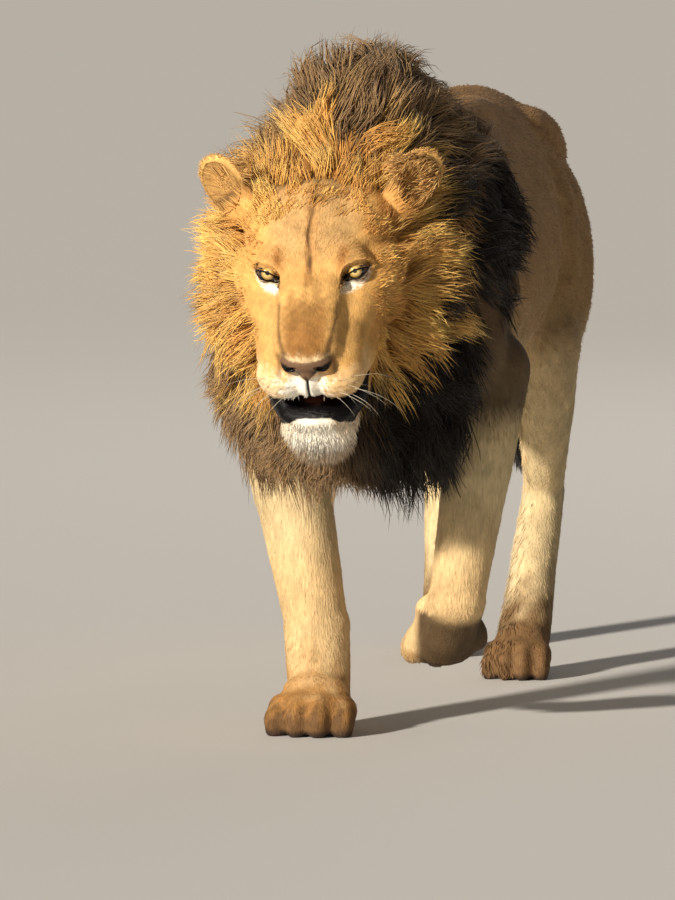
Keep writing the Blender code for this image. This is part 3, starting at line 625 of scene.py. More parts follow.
def sculptFace(thing):
    # sockets, lids, the fold over each eye and the bag under it
    q = pointsOf(thing)
    radius = skull["eyeRadius"]
    for side in (1, -1):
        gap, u, v, w = lidDistance(q, side)
        reach2 = u * u + v * v
        front = w > 0.0
        lidHeight = np.sqrt(np.maximum((radius + lids["thick"]) ** 2 - reach2, 1e-8))
        inner = np.sqrt(np.maximum((radius - 0.0030) ** 2 - reach2, 1e-8))
        hold = ramp(0.017, 0.0035, gap) * front * ramp(0.0195, 0.0150, np.sqrt(reach2) * 0.72)
        target = np.where(gap < 0, inner, lidHeight + 0.0006 * ramp(0.0, 0.0030, gap))
        fold = 0.0016 * ridge(gap, 0.0075, 0.0018) * (v > 0)
        bag = 0.0014 * ridge(gap, 0.0100, 0.0022) * (v < 0)
        deep = w * (1 - hold) + target * hold
        deep = np.where((gap < 0) & front & (reach2 < 0.022 ** 2), target, deep)
        deep = deep - (fold + bag) * front * (w < 0.05)
        q = q + (deep - w)[:, None] * lidFrame(side)[0]
    x, y, z = q.T
    ax = np.abs(x)
    # then the philtrum, the furrow up the forehead, the creases by the nose and the rows of the muzzle
    philtrum = ridge(ax, 0, 0.0024) * between(z, -0.140, -0.128, -0.092, -0.078) * (y < -0.12)
    furrow = ridge(ax, 0, 0.0050) * between(z, -0.008, 0.020, 0.095, 0.125) * (y < 0.10)
    wing = ridge(ax, 0.040, 0.0045) * between(z, -0.105, -0.085, -0.050, -0.030) * (y < -0.10)
    rows = np.zeros(len(q))
    for row in range(4):
        line = -0.094 - 0.0115 * row + 0.10 * (y + 0.13)
        rows += ridge(z, line, 0.0022) * ramp(0.012, 0.022, ax) * ramp(-0.075, -0.11, y)
    q[:, 1] += 0.0036 * philtrum + 0.0024 * wing + 0.0020 * furrow
    q[:, 2] -= 0.0020 * furrow
    q += unit(arrows(x * -2.2, 0.10, 0)) * (0.0007 * rows)[:, None]
    setPoints(thing, q)


# Where the bare skin is: nose pad, lips, lid rims, inside of the mouth.

padEdge = {   # the nose pad's half width at each height
    "height": (-0.094, -0.089, -0.083, -0.076, -0.069, -0.062, -0.054),
    "half": (0.0015, 0.005, 0.011, 0.022, 0.036, 0.041, 0.037),
}


def nosePad(q):
    # distance outside the pad's edge, in the head frame
    x, y, z = folded(q)
    half = np.interp(z, padEdge["height"], padEdge["half"])
    edge = np.maximum(x - half, np.maximum(z + 0.0555 - 0.05 * x, -0.094 - z))
    return np.where(y < -0.138, edge, 0.05)


def nostril(q):
    # 1 in and round each nostril, a slanting comma along the pad's lower edge
    x, y, z = folded(q)
    u, v = x - 0.0245, z + 0.0715
    turn = math.radians(30)
    long, wide = u * math.cos(turn) + v * math.sin(turn), v * math.cos(turn) - u * math.sin(turn)
    reach = np.hypot(long / 0.0165, (wide + 0.0012) / 0.0072)
    return ramp(1.25, 0.85, reach) * (y < -0.130)


def lipLine(q):
    # how far inside the black lips and the mouth
    x, y, z = folded(q)
    _, front, height = mouth["middle"]
    meet = height - (y - front) * math.tan(math.radians(mouth["tilt"]))   # where the lips meet
    side = ramp(0.020, 0.062, x)
    top = meet + 0.0175 - 0.0065 * ramp(0.002, 0.026, x) + 0.003 * side
    bottom = meet - 0.0285 - 0.0280 * side
    inside = np.minimum.reduce([top - z, z - bottom, 0.079 - x, -0.046 - y])
    return np.where((y < -0.040) & (z < -0.10) & (z > -0.24), inside, -0.05)


def philtrumLine(q):
    x, y, z = folded(q)
    return ramp(0.0023, 0.0012, x) * (z < -0.088) * (z > -0.134) * (y < -0.125)


def furrowLine(q):
    # the dark line up the middle of the forehead, painted shade in the fold, uneven like the fold that makes
    # it
    z = q[:, 2]
    wave = 0.0026 * np.sin(z * 74 + 0.6) + 0.0013 * np.sin(z * 190)
    wide = 0.0022 + 0.0016 * ramp(0.075, 0.115, z) + 0.0010 * ramp(0.045, 0.020, z)
    strong = 0.62 + 0.38 * np.sin(z * 118 + 1.3) ** 2
    line = ridge(q[:, 0], wave, wide) * strong
    return line * between(z, -0.004, 0.030, 0.140, 0.165) * (q[:, 1] < 0.14) * (q[:, 1] > -0.06)


def mouthDeep(q):
    # how far inside the open mouth, 0.02 at its middle
    rel = (q - np.array((0, -0.122, -0.1455))) / np.array((0.0700, 0.0875, 0.0150))
    return (1 - np.sqrt((rel ** 2).sum(axis=1))) * 0.02


def bareSkin(q):
    # 1 on bare black or brown skin
    shares = [ramp(0.0008, -0.0008, nosePad(q)), ramp(-0.0008, 0.0008, lipLine(q)), philtrumLine(q)]
    for side in (1, -1):
        gap, u, v, w = lidDistance(q, side)
        rim = 0.0019 + 0.0014 * (v > 0) + 0.0026 * ramp(-0.010, -0.019, u)
        shares.append(ramp(0.0008, -0.0008, gap - rim) * (w > 0.004) * (np.abs(u) < 0.030))
    return np.maximum.reduce(shares)


# The coat's colours, for skin and tufts alike.

coat = {name: fromScreen(*colour) for name, colour in {
    # the back and the flank: the coat's own tawny, set darker as painted shade
    "back": (160, 122, 78), "flank": (156, 123, 82), "belly": (204, 176, 132), "spine": (142, 106, 66),
    "leg": (212, 190, 146), "legInside": (226, 210, 174), "shin": (214, 180, 128), "heel": (98, 74, 50),
    "paw": (168, 122, 69), "hindPaw": (124, 94, 62), "shade": (70, 53, 36), "pad": (52, 42, 38),
    "face": (218, 170, 102), "brow": (210, 168, 110), "cheek": (222, 170, 98), "rust": (166, 106, 50),
    "bridge": (184, 132, 70), "bridgeDark": (146, 102, 54), "cream": (240, 212, 166),
    "white": (255, 250, 236), "mark": (66, 46, 32), "skin": (13, 11, 12), "noseSkin": (120, 92, 70),
    "mouth": (150, 84, 66), "ear": (246, 196, 116), "earCupShade": (96, 66, 38), "tuft": (34, 26, 22),
}.items()}


def painted(tone, layers):
    # coat colours laid over each other, each with its own share at each point
    for name, share in layers:
        tone = mixed(tone, coat[name], share)
    return tone


def whiskerSpots():
    # row, place in the row, and where the spot is across and up the muzzle
    return [(row, place, 0.026 + 0.0105 * place + 0.004 * (row % 2), -0.0955 - 0.0105 * row)
            for row in range(4) for place in range(5)]


def faceColour(q):
    x, y, z = q.T
    ax = np.abs(x)
    blur = 0.004 * ripple(q, 0.018, 61) + 0.003 * ripple(q, 0.008, 62)
    patch = ramp(0.050, 0.022, ax + 0.4 * blur) * ramp(-0.058, -0.104, y + blur) * ramp(-0.072, -0.054, z)
    band = ramp(0.044, 0.030, ax) * ridge(z + blur * 0.4, -0.0525, 0.0042) * (y < -0.130)
    muzzle = ramp(-0.074, -0.094, z + blur) * ramp(-0.062, -0.098, y + blur)
    # the white of the muzzle reaches less far on the lion's left: painted shade for that side
    middle = ramp(0.052, 0.026, ax + blur * 1.6 + 0.014 * (x > 0)) * ramp(-0.084, -0.096, z)
    chin = np.clip(1.6 * blob(q, (0, -0.110, -0.222), (0.054, 0.070, 0.044)), 0, 1) * ramp(-0.150, -0.165, z)
    tone = painted(np.tile(coat["face"], (len(q), 1)), [
        ("cheek", ramp(0.060, 0.100, ax + blur)),
        ("brow", ramp(0.020, 0.050, z + blur) * ramp(0.085, 0.050, ax)),
        ("bridge", ramp(0.036, 0.020, ax) * ramp(0.0, -0.03, z) * (y < -0.02)),
        ("bridgeDark", 0.74 * patch),
        ("cream", 0.80 * band),
        # the cream fades towards the lion's left: painted shade for that side
        ("cream", muzzle * (0.85 - 0.40 * ramp(0.012, 0.040, x))),
        ("white", 0.92 * middle * ramp(-0.10, -0.125, y)),
        ("white", 0.95 * np.clip(chin + blur * 20 * chin, 0, 1)),
    ])
    for side in (1, -1):
        gap, u, v, w = lidDistance(q, side)
        near = (w > 0.0) * (np.abs(u) < 0.05)
        under = ramp(0.0165, 0.0095, gap + 0.12 * u) * ramp(0.002, -0.001, v) * near
        lean = v - 0.034 - 0.5 * (u + 0.012)
        tone = painted(tone, [
            ("white", 0.88 * under * between(u, -0.034, -0.018, 0.012, 0.027)),
            ("rust", 0.86 * ridge(u, -0.013, 0.0135) * ridge(lean, 0, 0.0115) * near),
            ("mark", 0.42 * ramp(0.0105, 0.0045, gap) * (v > 0) * near),
            ("mark", 0.8 * ridge(v, 0.001, 0.0016) * between(u, 0.015, 0.019, 0.024, 0.032) * near),
        ])
    # the tear line from each eye's inner corner down beside the nose: partly the coat's own dark mark, partly
    # painted shade in the crease there
    tearAndCreaseShade = ridge(ax, 0.047 - 0.013 * ramp(-0.012, -0.050, z), 0.0034 + 0.003 * ramp(-0.02, -0.05, z))
    wing = ridge(ax, 0.043, 0.0036) * between(z, -0.100, -0.085, -0.058, -0.046)
    halo = ridge(ax, 0, 0.011) * between(z, -0.014, 0.010, 0.080, 0.110) * (y < 0.11) * (y > -0.06)
    spots = np.zeros(len(q))
    for *_, across, up in whiskerSpots():
        spots = np.maximum(spots, ridge(ax, across, 0.0015) * ridge(z, up, 0.0015) * (y < -0.09))
    return painted(tone, [
        ("mark", 0.72 * tearAndCreaseShade * between(z, -0.076, -0.046, -0.012, -0.004) * (y < -0.005)),
        ("mark", 0.62 * wing * (y < -0.10)),
        ("rust", 0.40 * halo),
        ("mark", 0.90 * furrowLine(q)),
        ("mark", 0.62 * spots),
    ])


def bodyColour(p):
    x, y, z = p.T
    ax, front, hind = np.abs(x), y < 0.25, y > 0.5
    leg = ramp(0.70, 0.38, z + 0.02 * ripple(p, 0.08, 64))
    hocks = np.where(x > 0, hindLegs["left"]["hock"][1], hindLegs["right"]["hock"][1])
    hock = hind * between(z, 0.24, 0.28, 0.31, 0.36) * ramp(-0.02, 0.01, y - hocks)
    lifted = ramp(0.12, 0.085, np.linalg.norm(p - liftedPaw, axis=1)) * (z < 0.19)
    onTail = (y > tail["from"]) * ramp(0.10, 0.07, np.abs(x + 0.02))
    elbow = blob(p, (0.19, 0.11, 0.57), (0.05, 0.05, 0.07)) + blob(p, (-0.21, 0.11, 0.56), (0.05, 0.05, 0.07))
    return painted(mixed(coat["flank"][None], coat["back"][None], ramp(0.80, 0.99, z)), [
        ("spine", 0.6 * ramp(0.05, 0.02, ax) * ramp(0.93, 0.99, z)),
        ("belly", ramp(0.64, 0.53, z) * (y > -0.1)),
        ("leg", leg),
        ("legInside", 0.8 * leg * ramp(0.105, 0.060, ax)),
        ("shin", 0.85 * leg * front * ramp(0.42, 0.22, z)),
        ("paw", ramp(0.150, 0.040, z + 0.012 * ripple(p, 0.03, 63)) * front),
        ("heel", 0.7 * hock),
        # the hind paws: their own brown, darkened as painted shade
        ("hindPaw", hind * ramp(0.210, 0.070, z + 0.012 * ripple(p, 0.03, 65))),
        # painted shade over the lifted paw, all but its edge towards the lion's right, where the light
        # reaches it
        ("shade", 0.92 * lifted * ramp(0.036, 0.058, x)),
        ("heel", 0.82 * front * ramp(0.064, 0.022, z + 0.010 * ripple(p, 0.02, 66))),
        ("pad", 0.85 * ramp(0.014, 0.006, z)),
        ("back", onTail * (z < 0.9)),
        ("tuft", onTail * ramp(1.46, 1.52, y)),
        ("heel", 0.35 * np.clip(elbow, 0, 1)),
        ("heel", 0.30 * blob(p, (0.19, 0.70, 0.56), (0.06, 0.07, 0.10))),
    ])


def headShare(p):
    # 1 on the head, 0 on the body
    q = toHead(p)
    return ramp(0.215, 0.150, q[:, 1]) * ramp(-0.36, -0.28, q[:, 2])


def earShare(q):
    # how much a head-frame point is on an ear, and how deep inside its cup
    share, cup = np.zeros(len(q)), np.zeros(len(q))
    for side in (1, -1):
        x, y, z = toEar(q, side).T
        on = ramp(0.030, 0.040, z) * ramp(0.075, 0.065, np.sqrt(x * x + y * y + (z - 0.05) ** 2))
        share = np.maximum(share, on)
        cup = np.maximum(cup, on * ramp(0.046, 0.034, np.hypot(x, z - 0.050)) * (y < 0.006))
    return share, cup


def coatColour(p):
    q = toHead(p)
    ear, cup = earShare(q)
    tone = mixed(bodyColour(p), faceColour(q), headShare(p))
    # painted shade: the short coat under the mane takes the mane's dark root colour
    tone = mixed(tone, dark["root"] * 1.3, 0.85 * underMane(p))
    # painted shade deep inside each ear's cup
    tone = painted(tone, [("ear", ear), ("earCupShade", 0.55 * cup)])
    speckle = 1 + 0.05 * ripple(p, 0.09, 11) + 0.05 * ripple(p, 0.03, 12) + 0.055 * ripple(p, 0.012, 13)
    return tone * speckle[:, None]


def coatDepth(p):
    # how far the skin lies under the tips of the coat
    q, z = toHead(p), p[:, 2]
    share, ear = headShare(p), earShare(q)[0]
    body = 0.0048 - 0.0022 * ramp(0.50, 0.35, z) - 0.0022 * ramp(0.16, 0.08, z)
    face = 0.0032 - 0.0020 * ramp(-0.085, -0.120, q[:, 1])
    depth = body * (1 - share) + face * share
    depth = depth * (1 - ear) + 0.0012 * ear
    bare = np.maximum(bareSkin(q), ramp(-0.002, 0.002, mouthDeep(q)))
    return depth * (1 - bare * share) * ramp(0.0, 0.012, z)


def buildSkin():
    body = thin(buildBody(), torso["triangles"])
    made = buildHead()
    refine(made, [0.012, 0.006])
    sculptFace(made)
    made.data.transform(headPlace)
    cut(made, body, "UNION")
    thin(made, torso["skinTriangles"])
    made.name = made.data.name = "skin"
    p, n = pointsOf(made), normalsOf(made)
    q, share = toHead(p), headShare(p)
    bare = bareSkin(q) * share
    under = p - n * coatDepth(p)[:, None]
    under[:, 2] = np.maximum(under[:, 2], 0.0)
    setPoints(made, under)
    inMouth = ramp(0.0, 0.0035, mouthDeep(q)) * (q[:, 1] > -0.185) * share
    setTone(made, "coat", painted(coatColour(p), [
        ("skin", bare),
        ("noseSkin", ramp(0.0008, -0.0008, nosePad(q)) * share),
        ("skin", nostril(q) * share),
        ("mouth", inMouth * (1 - 0.6 * ramp(-0.148, -0.156, q[:, 2]))),
    ]))
    setTone(made, "bare", np.maximum(bare, ramp(0.0, 0.002, mouthDeep(q)) * share))
    p = pointsOf(made)
    share, onLeg = headShare(p), ramp(0.62, 0.50, p[:, 2])
    setTone(made, "lie", np.maximum(onLeg * (1 - share), 0.5 * share))
    shadeFaces(made, True)
    return made


# Shaders. Shade wraps a socket, so that shader maths reads as plain sums.

class Shade:
    def __init__(self, tree, socket=None):
        self.tree, self.socket = tree, socket

    def add(self, kind, settings={}, inputs={}, out=0):
        made = self.tree.nodes.new(kind)
        for name, value in settings.items():
            setattr(made, name, value)
        for name, value in inputs.items():
            if isinstance(value, Shade):
                self.tree.links.new(value.socket, made.inputs[name])
            else:
                made.inputs[name].default_value = value
        return Shade(self.tree, made.outputs[out])

    def maths(self, operation, *terms):
        return self.add("ShaderNodeMath", {"operation": operation}, dict(enumerate(terms)))

    def __add__(self, other):
        return self.maths("ADD", self, other)

    def __radd__(self, other):
        return self.maths("ADD", other, self)

    def __sub__(self, other):
        return self.maths("SUBTRACT", self, other)

    def __rsub__(self, other):
        return self.maths("SUBTRACT", other, self)

    def __mul__(self, other):
        return self.maths("MULTIPLY", self, other)

    def __rmul__(self, other):
        return self.maths("MULTIPLY", other, self)

    def step(self, low, high):
        settings = {"interpolation_type": "SMOOTHSTEP"}
        return self.add("ShaderNodeMapRange", settings, {0: self, 1: low, 2: high})

    def blend(self, first, second):
        return self.add("ShaderNodeMix", {"data_type": "RGBA"}, {0: self, 6: first, 7: second}, 2)

    def shaded(self, colour, amount):
        # a colour times a number
        return self.add("ShaderNodeVectorMath", {"operation": "SCALE"}, {0: colour, "Scale": amount})

    def layer(self, name, kind="Fac"):
        return self.add("ShaderNodeAttribute", {"attribute_name": name}, out=kind)

    def place(self, scale=(1, 1, 1)):
        here = self.add("ShaderNodeTexCoord", out="Object")
        return self.add("ShaderNodeMapping", {}, {"Vector": here, "Scale": scale})

    def noise(self, where, scale, detail=2.0, rough=0.5):
        inputs = {"Vector": where, "Scale": scale, "Detail": detail, "Roughness": rough}
        return self.add("ShaderNodeTexNoise", {}, inputs)

    def bump(self, height, strength, distance):
        return self.add("ShaderNodeBump", {}, {"Height": height, "Strength": strength, "Distance": distance})

    def feed(self, socket):
        self.tree.links.new(self.socket, self.tree.nodes["Principled BSDF"].inputs[socket])


def newMaterial(name, constants):
    material = bpy.data.materials.new(name)
    material.use_nodes = True
    surface = material.node_tree.nodes["Principled BSDF"]
    for socket, value in constants.items():
        surface.inputs[socket].default_value = value
    return material, Shade(material.node_tree)


def skinMaterial():
    material, s = newMaterial("lionSkin", {"Specular IOR Level": 0.17})
    colour, bare, lie = s.layer("coat", "Color"), s.layer("bare"), s.layer("lie")
    alongBody = s.noise(s.place((330, 46, 200)), 1.0, 3.0, 0.6)
    downLeg = s.noise(s.place((330, 260, 46)), 1.0, 3.0, 0.6)
    strands = alongBody * (1 - lie) + downLeg * lie
    patches = s.noise(s.place(), 17.0, 4.0, 0.6)
    fur = s.shaded(colour, 0.50 + strands * 0.64 + patches * 0.32)
    cells = {"Vector": s.place(), "Scale": 620.0, "Smoothness": 0.6}
    cobble = s.add("ShaderNodeTexVoronoi", {"feature": "SMOOTH_F1"}, cells)
    leather = s.shaded(colour, 0.70 + cobble * 0.60)
    gloss = s.noise(s.place(), 90.0)
    bare.blend(fur, leather).feed("Base Color")
    ((0.82 - strands * 0.14) * (1 - bare) + (0.17 + gloss * 0.16) * bare).feed("Roughness")
    s.bump(strands * (1 - bare) + cobble * bare * 0.35, 0.85, 0.0022).feed("Normal")
    return material


def hairMaterial(name, rough, sheen):
    look = {"Specular IOR Level": 0.12, "Sheen Weight": sheen, "Sheen Roughness": 0.4}
    material, s = newMaterial(name, look)
    grain = s.noise(s.place(), 240.0)
    s.shaded(s.layer("coat", "Color"), 0.86 + grain * 0.28).feed("Base Color")
    (rough + grain * 0.18).feed("Roughness")
    s.bump(grain, 0.25, 0.0008).feed("Normal")
    return material


def eyeMaterial():
    # ring is the distance from the middle of the iris, 1 at its edge
    look = {"Roughness": 0.06, "Coat Weight": 1.0, "Coat Roughness": 0.02, "Specular IOR Level": 0.6}
    material, s = newMaterial("lionEye", look)
    ring, spoke = s.layer("ring"), s.layer("spoke")
    around = s.add("ShaderNodeCombineXYZ", {}, {0: spoke * 9.0, 1: ring * 1.6, 2: 0.0})
    streaks = s.noise(around, 2.2, 4.0, 0.65)
    iris = ring.step(0.30, 0.95).blend((0.74, 0.54, 0.19, 1), (0.38, 0.22, 0.05, 1))
    colour = s.shaded(iris, 0.55 + streaks * 0.9)
    colour = ring.step(0.34, 0.29).blend(colour, (0.002, 0.002, 0.002, 1))   # pupil
    colour = ring.step(0.90, 1.02).blend(colour, (0.010, 0.007, 0.005, 1))   # dark rim
    ring.step(1.22, 1.40).blend(colour, (0.16, 0.10, 0.07, 1)).feed("Base Color")
    return material


# Strands: each is a slim closed spike of three sides along a path of points.

strand = {"sides": 3, "thick": 0.75, "tuftThick": 0.32, "clear": 0.0012, "floor": 0.0003, "mapPatch": 0.003}


def strandMesh(name, paths, widths, tones, roots, profile, ground=None):
    # short tufts lie flat on the ground whose normals they are given
    paths[:, :, 2] = np.maximum(paths[:, :, 2], strand["clear"])
    count, levels, sides = paths.shape[0], paths.shape[1] - 1, strand["sides"]
    along = unit(paths[:, 1:] - paths[:, :-1])
    along = np.concatenate([along, along[:, -1:]], axis=1)
    dice = np.random.default_rng(len(paths))
    spin = unit(dice.normal(size=(count, 3))) if ground is None else ground
    thick = strand["thick" if ground is None else "tuftThick"]
    across = unit(np.cross(along[:, 0], spin))
    rings = []
    for level in range(levels):
        across = unit(across - along[:, level] * (across * along[:, level]).sum(1, keepdims=True))
        other = np.cross(along[:, level], across)
        radius = (widths * profile[level] * 0.5)[:, None]
        for corner in range(sides):
            angle = math.tau * corner / sides
            out = across * math.cos(angle) + other * math.sin(angle) * thick
            rings.append(paths[:, level] + out * radius)
    verts = np.stack(rings + [paths[:, -1]], axis=1)
    verts[:, :, 2] = np.maximum(verts[:, :, 2], strand["floor"])
    loops, sizes, spots = [], [], []
    for level in range(levels):
        low, high = (0.12 + 0.88 * step / levels for step in (level, level + 1))
        for corner in range(sides):
            a, b = level * sides + corner, level * sides + (corner + 1) % sides
            left, right = corner / sides, (corner + 1) / sides
            if level < levels - 1:
                loops += [a, b, b + sides, a + sides]
                spots += [(left, low), (right, low), (right, high), (left, high)]
            else:
                loops += [a, b, levels * sides]
                spots += [(left, low), (right, low), ((corner + 0.5) / sides, 1.0)]
            sizes.append(len(loops) - sum(sizes))
    loops += [2, 1, 0]
    sizes.append(3)
    spots += [(0.9, 0.11), (0.5, 0.0), (0.1, 0.11)]
    first = np.arange(count)[:, None] * (levels * sides + 1)
    allLoops, allSizes = (np.array(loops)[None] + first).ravel(), np.tile(sizes, count)
    starts = np.concatenate([[0], np.cumsum(allSizes)[:-1]])
    mesh = bpy.data.meshes.new(name)
    mesh.vertices.add(verts.shape[0] * verts.shape[1])
    mesh.vertices.foreach_set("co", (verts + np.array(shift)).astype(np.float32).ravel())
    mesh.loops.add(len(allLoops))
    mesh.loops.foreach_set("vertex_index", allLoops.astype(np.int32))
    mesh.polygons.add(len(allSizes))
    mesh.polygons.foreach_set("loop_start", starts.astype(np.int32))
    mesh.update(calc_edges=True)
    made = addObject(name, mesh)
    shadeFaces(made, ground is None)
    setTone(made, "coat", np.repeat(tones, [sides] * levels + [1], axis=1).reshape(-1, 3))
    corners = roots[:, None] + (np.array(spots)[None] - 0.5) * strand["mapPatch"]
    mesh.uv_layers.new(name="OFBake").data.foreach_set("uv", corners.astype(np.float32).ravel())
    return made


# Roots: a coarse copy of a surface is unwrapped, and each root takes its place on that unwrap.

rootMap = {"skinTriangles": 26000, "woolTriangles": 9000, "angle": 66, "margin": 0.004, "border": 0.01}


def unwrapped(source, triangles):
    copy = addObject(source.name + "Map", source.data.copy())
    shadeFaces(copy, False)
    thin(copy, triangles)
    bpy.ops.object.select_all(action="DESELECT")
    copy.select_set(True)
    bpy.context.view_layer.objects.active = copy
    while copy.data.uv_layers:
        copy.data.uv_layers.remove(copy.data.uv_layers[0])
    copy.data.uv_layers.new(name="map")
    bpy.ops.object.mode_set(mode="EDIT")
    bpy.ops.mesh.select_all(action="SELECT")
    bpy.ops.uv.smart_project(angle_limit=math.radians(rootMap["angle"]), island_margin=rootMap["margin"])
    bpy.ops.object.mode_set(mode="OBJECT")
    copy.data.calc_loop_triangles()
    corners = readAll(copy.data.loop_triangles, "vertices", 3, np.int32)
    loops = readAll(copy.data.loop_triangles, "loops", 3, np.int32)
    uv = readAll(copy.data.uv_layers["map"].data, "uv", 2).astype(float)
    p, n = pointsOf(copy)[corners], normalsOf(copy)[corners]
    cross = np.cross(p[:, 1] - p[:, 0], p[:, 2] - p[:, 0])
    bpy.data.objects.remove(copy)
    return {"p": p, "n": n, "uv": uv[loops], "mid": p.mean(axis=1), "area": np.linalg.norm(cross, axis=1) / 2}


def spreadOut(spots):
    # map places, spread over the whole map but for its border
    low, high, border = spots.min(axis=0), spots.max(axis=0), rootMap["border"]
    return border + (1 - 2 * border) * (spots - low) / (high - low)


def scatter(ground, density, count, seed):
    # roots as points, normals and map places, as many per area as the density says
    dice = np.random.default_rng(seed)
    weight = ground["area"] * density(ground["mid"])
    pick = dice.choice(len(weight), size=count, p=weight / weight.sum())
    a, b = dice.random(count), dice.random(count)
    flip = a + b > 1
    a[flip], b[flip] = 1 - a[flip], 1 - b[flip]
    share = np.stack([1 - a - b, a, b], axis=1)[:, :, None]
    points, normals, spots = ((ground[k][pick] * share).sum(axis=1) for k in ("p", "n", "uv"))
    return points, unit(normals), spreadOut(spots)


def settle(points, tree, sink):
    # brings roots down onto the skin, and a little into it
    places, normals = np.empty_like(points), np.empty_like(points)
    for index, point in enumerate(points):
        places[index], normals[index] = tree.find_nearest(Vector(point))[:2]
    return places - normals * sink, normals


def rootsOn(ground, density, count, spec):
    # scattered roots, set down on the skin
    points, _, spots = scatter(ground, density, count, spec["seed"])
    return *settle(points, hideTree, spec["sink"]), spots


def flat(v, n):
    # the share of v that lies along the surface
    return unit(v - n * (v * n).sum(axis=1, keepdims=True))


def bodyLie(p):
    # how the short coat lies: back along the trunk, down the legs, forwards over the toes, down the tail
    x, y, z = p.T
    lie = arrows(np.sign(x) * 0.06, 1, -0.28 * ramp(0.99, 0.80, z) - 0.1)
    lie = mixed(lie, np.array((0, 0.12, -1)), ramp(0.60, 0.46, z))
    lie = mixed(lie, np.array((0, -0.65, -0.80)), ramp(0.115, 0.075, z))
    lifted = (np.linalg.norm(p - liftedPaw - np.array((0, 0, 0.010)), axis=1) < 0.105) & (z < 0.20)
    lie[lifted] = pawTurn(foreLegs["left"]).to_3x3() @ Vector((0, -1, -0.1))
    route, onTail = np.array(tail["route"]), y > 1.235
    near = np.abs(p[onTail][:, None] - route[None]).sum(axis=2).argmin(axis=1).clip(0, len(route) - 2)
    lie[onTail] = (route[1:] - route[:-1])[near] * 10
    return lie


def faceLie(q):
    x, y, z = q.T
    ax, side, up = np.abs(x), np.sign(x), ramp(-0.045, 0.03, z)
    lie = arrows(side * (0.25 + 0.9 * ramp(0.02, 0.09, ax)), 0.9, 0.85 * up - 0.30 * (1 - up))
    lie = mixed(lie, arrows(side * 0.15, 0.9, 0.45), ramp(0.036, 0.020, ax) * ramp(-0.01, -0.04, y))
    lie = mixed(lie, arrows(side * 0.75, 0.65, -0.55), ramp(-0.078, -0.092, z) * ramp(-0.06, -0.10, y))
    return mixed(lie, arrows(side * 0.12, 0.20, -1), ramp(-0.165, -0.185, z) * ramp(0.0, -0.05, y))


def coatLie(p):
    # the lie of the coat on head, ears and body together
    q, share = toHead(p), headShare(p)
    face = mixed(faceLie(q), arrows(np.sign(q[:, 0]) * 0.7, 0, 0.8), earShare(q)[0])
    return mixed(bodyLie(p), fromHead(face), share) - headOrigin * share[:, None]


def ripples(p, pitch, seed):
    # three waves at once, for a wandering direction
    return np.stack([ripple(p, pitch, seed + axis) for axis in range(3)], axis=1)


def comb(points, normals, lengths, lie, spec):
    # paths that leave the surface, follow the lie of the coat and sag at the tips
    dice = np.random.default_rng(spec["seed"])
    count, levels, pitch = len(points), spec["levels"], spec["pitch"]
    stray = dice.normal(size=(count, 3)) * spec["veer"]
    lift = normals * (spec["lift"] * dice.uniform(0.6, 1.4, count))[:, None]
    heading = unit(flat(lie(points) + stray, normals) + lift)
    path, here = [points], points
    for level in range(levels):
        swirl = ripples(here, pitch, spec["seed"] + 20) + 0.6 * ripples(here, pitch * 0.36, spec["seed"] + 30)
        aim = unit(lie(here) + stray + swirl * spec["swirl"])
        aim[:, 2] -= spec["sag"] * (level + 1) / levels
        heading = unit(heading * (1 - spec["turn"]) + unit(aim) * spec["turn"])
        here = here + heading * (lengths / levels)[:, None]
        path.append(here)
    return np.stack(path, axis=1)


# Short coat: slim tufts that lie along the body, smallest on the face and the feet.

tuftComb = {"levels": 1, "sag": 0.0, "veer": 0.10, "pitch": 0.06, "swirl": 0.10, "turn": 0.0, "sink": 0.0006}
shortCoat = {
    "head": {"count": 40000, "seed": 5, "lift": 0.14, "root": 0.80, "tip": 1.10, **tuftComb},
    "trunk": {"count": 26000, "seed": 6, "lift": 0.20, "root": 0.80, "tip": 1.12, **tuftComb},
    "legs": {"count": 28000, "seed": 7, "lift": 0.15, "root": 0.88, "tip": 1.08, **tuftComb},
}


def tuftLength(p):
    q, y, z = toHead(p), p[:, 1], p[:, 2]
    belly = ramp(0.62, 0.52, z) * (y > 0.05) * (np.abs(p[:, 0]) < 0.10)
    body = 0.0150 + 0.010 * belly - 0.0045 * ramp(0.50, 0.35, z) - 0.0035 * ramp(0.14, 0.07, z)
    body = body * (1 - 0.45 * ramp(0.13, 0.10, np.linalg.norm(p - liftedPaw, axis=1)))
    x, y, z = folded(q)
    face = 0.0085 - 0.0030 * ramp(-0.02, -0.08, y) + 0.018 * ramp(-0.175, -0.21, z) * ramp(0.02, -0.04, y)
    face = face + 0.014 * ramp(0.085, 0.115, x) + 0.012 * ramp(0.070, 0.10, z) * (y < 0.12)
    share, ear = headShare(p), earShare(q)[0]
    face = face * (1 - ear) + 0.009 * ear
    return body * (1 - share) + face * share


def underMane(p):
    # 1 where the mane hides the short coat
    q = toHead(p)
    neck = ramp(0.12, 0.04, p[:, 1]) * ramp(0.47, 0.53, p[:, 2])
    return neck * (1 - ramp(0.16, 0.12, q[:, 1]) * ramp(-0.30, -0.26, q[:, 2]))


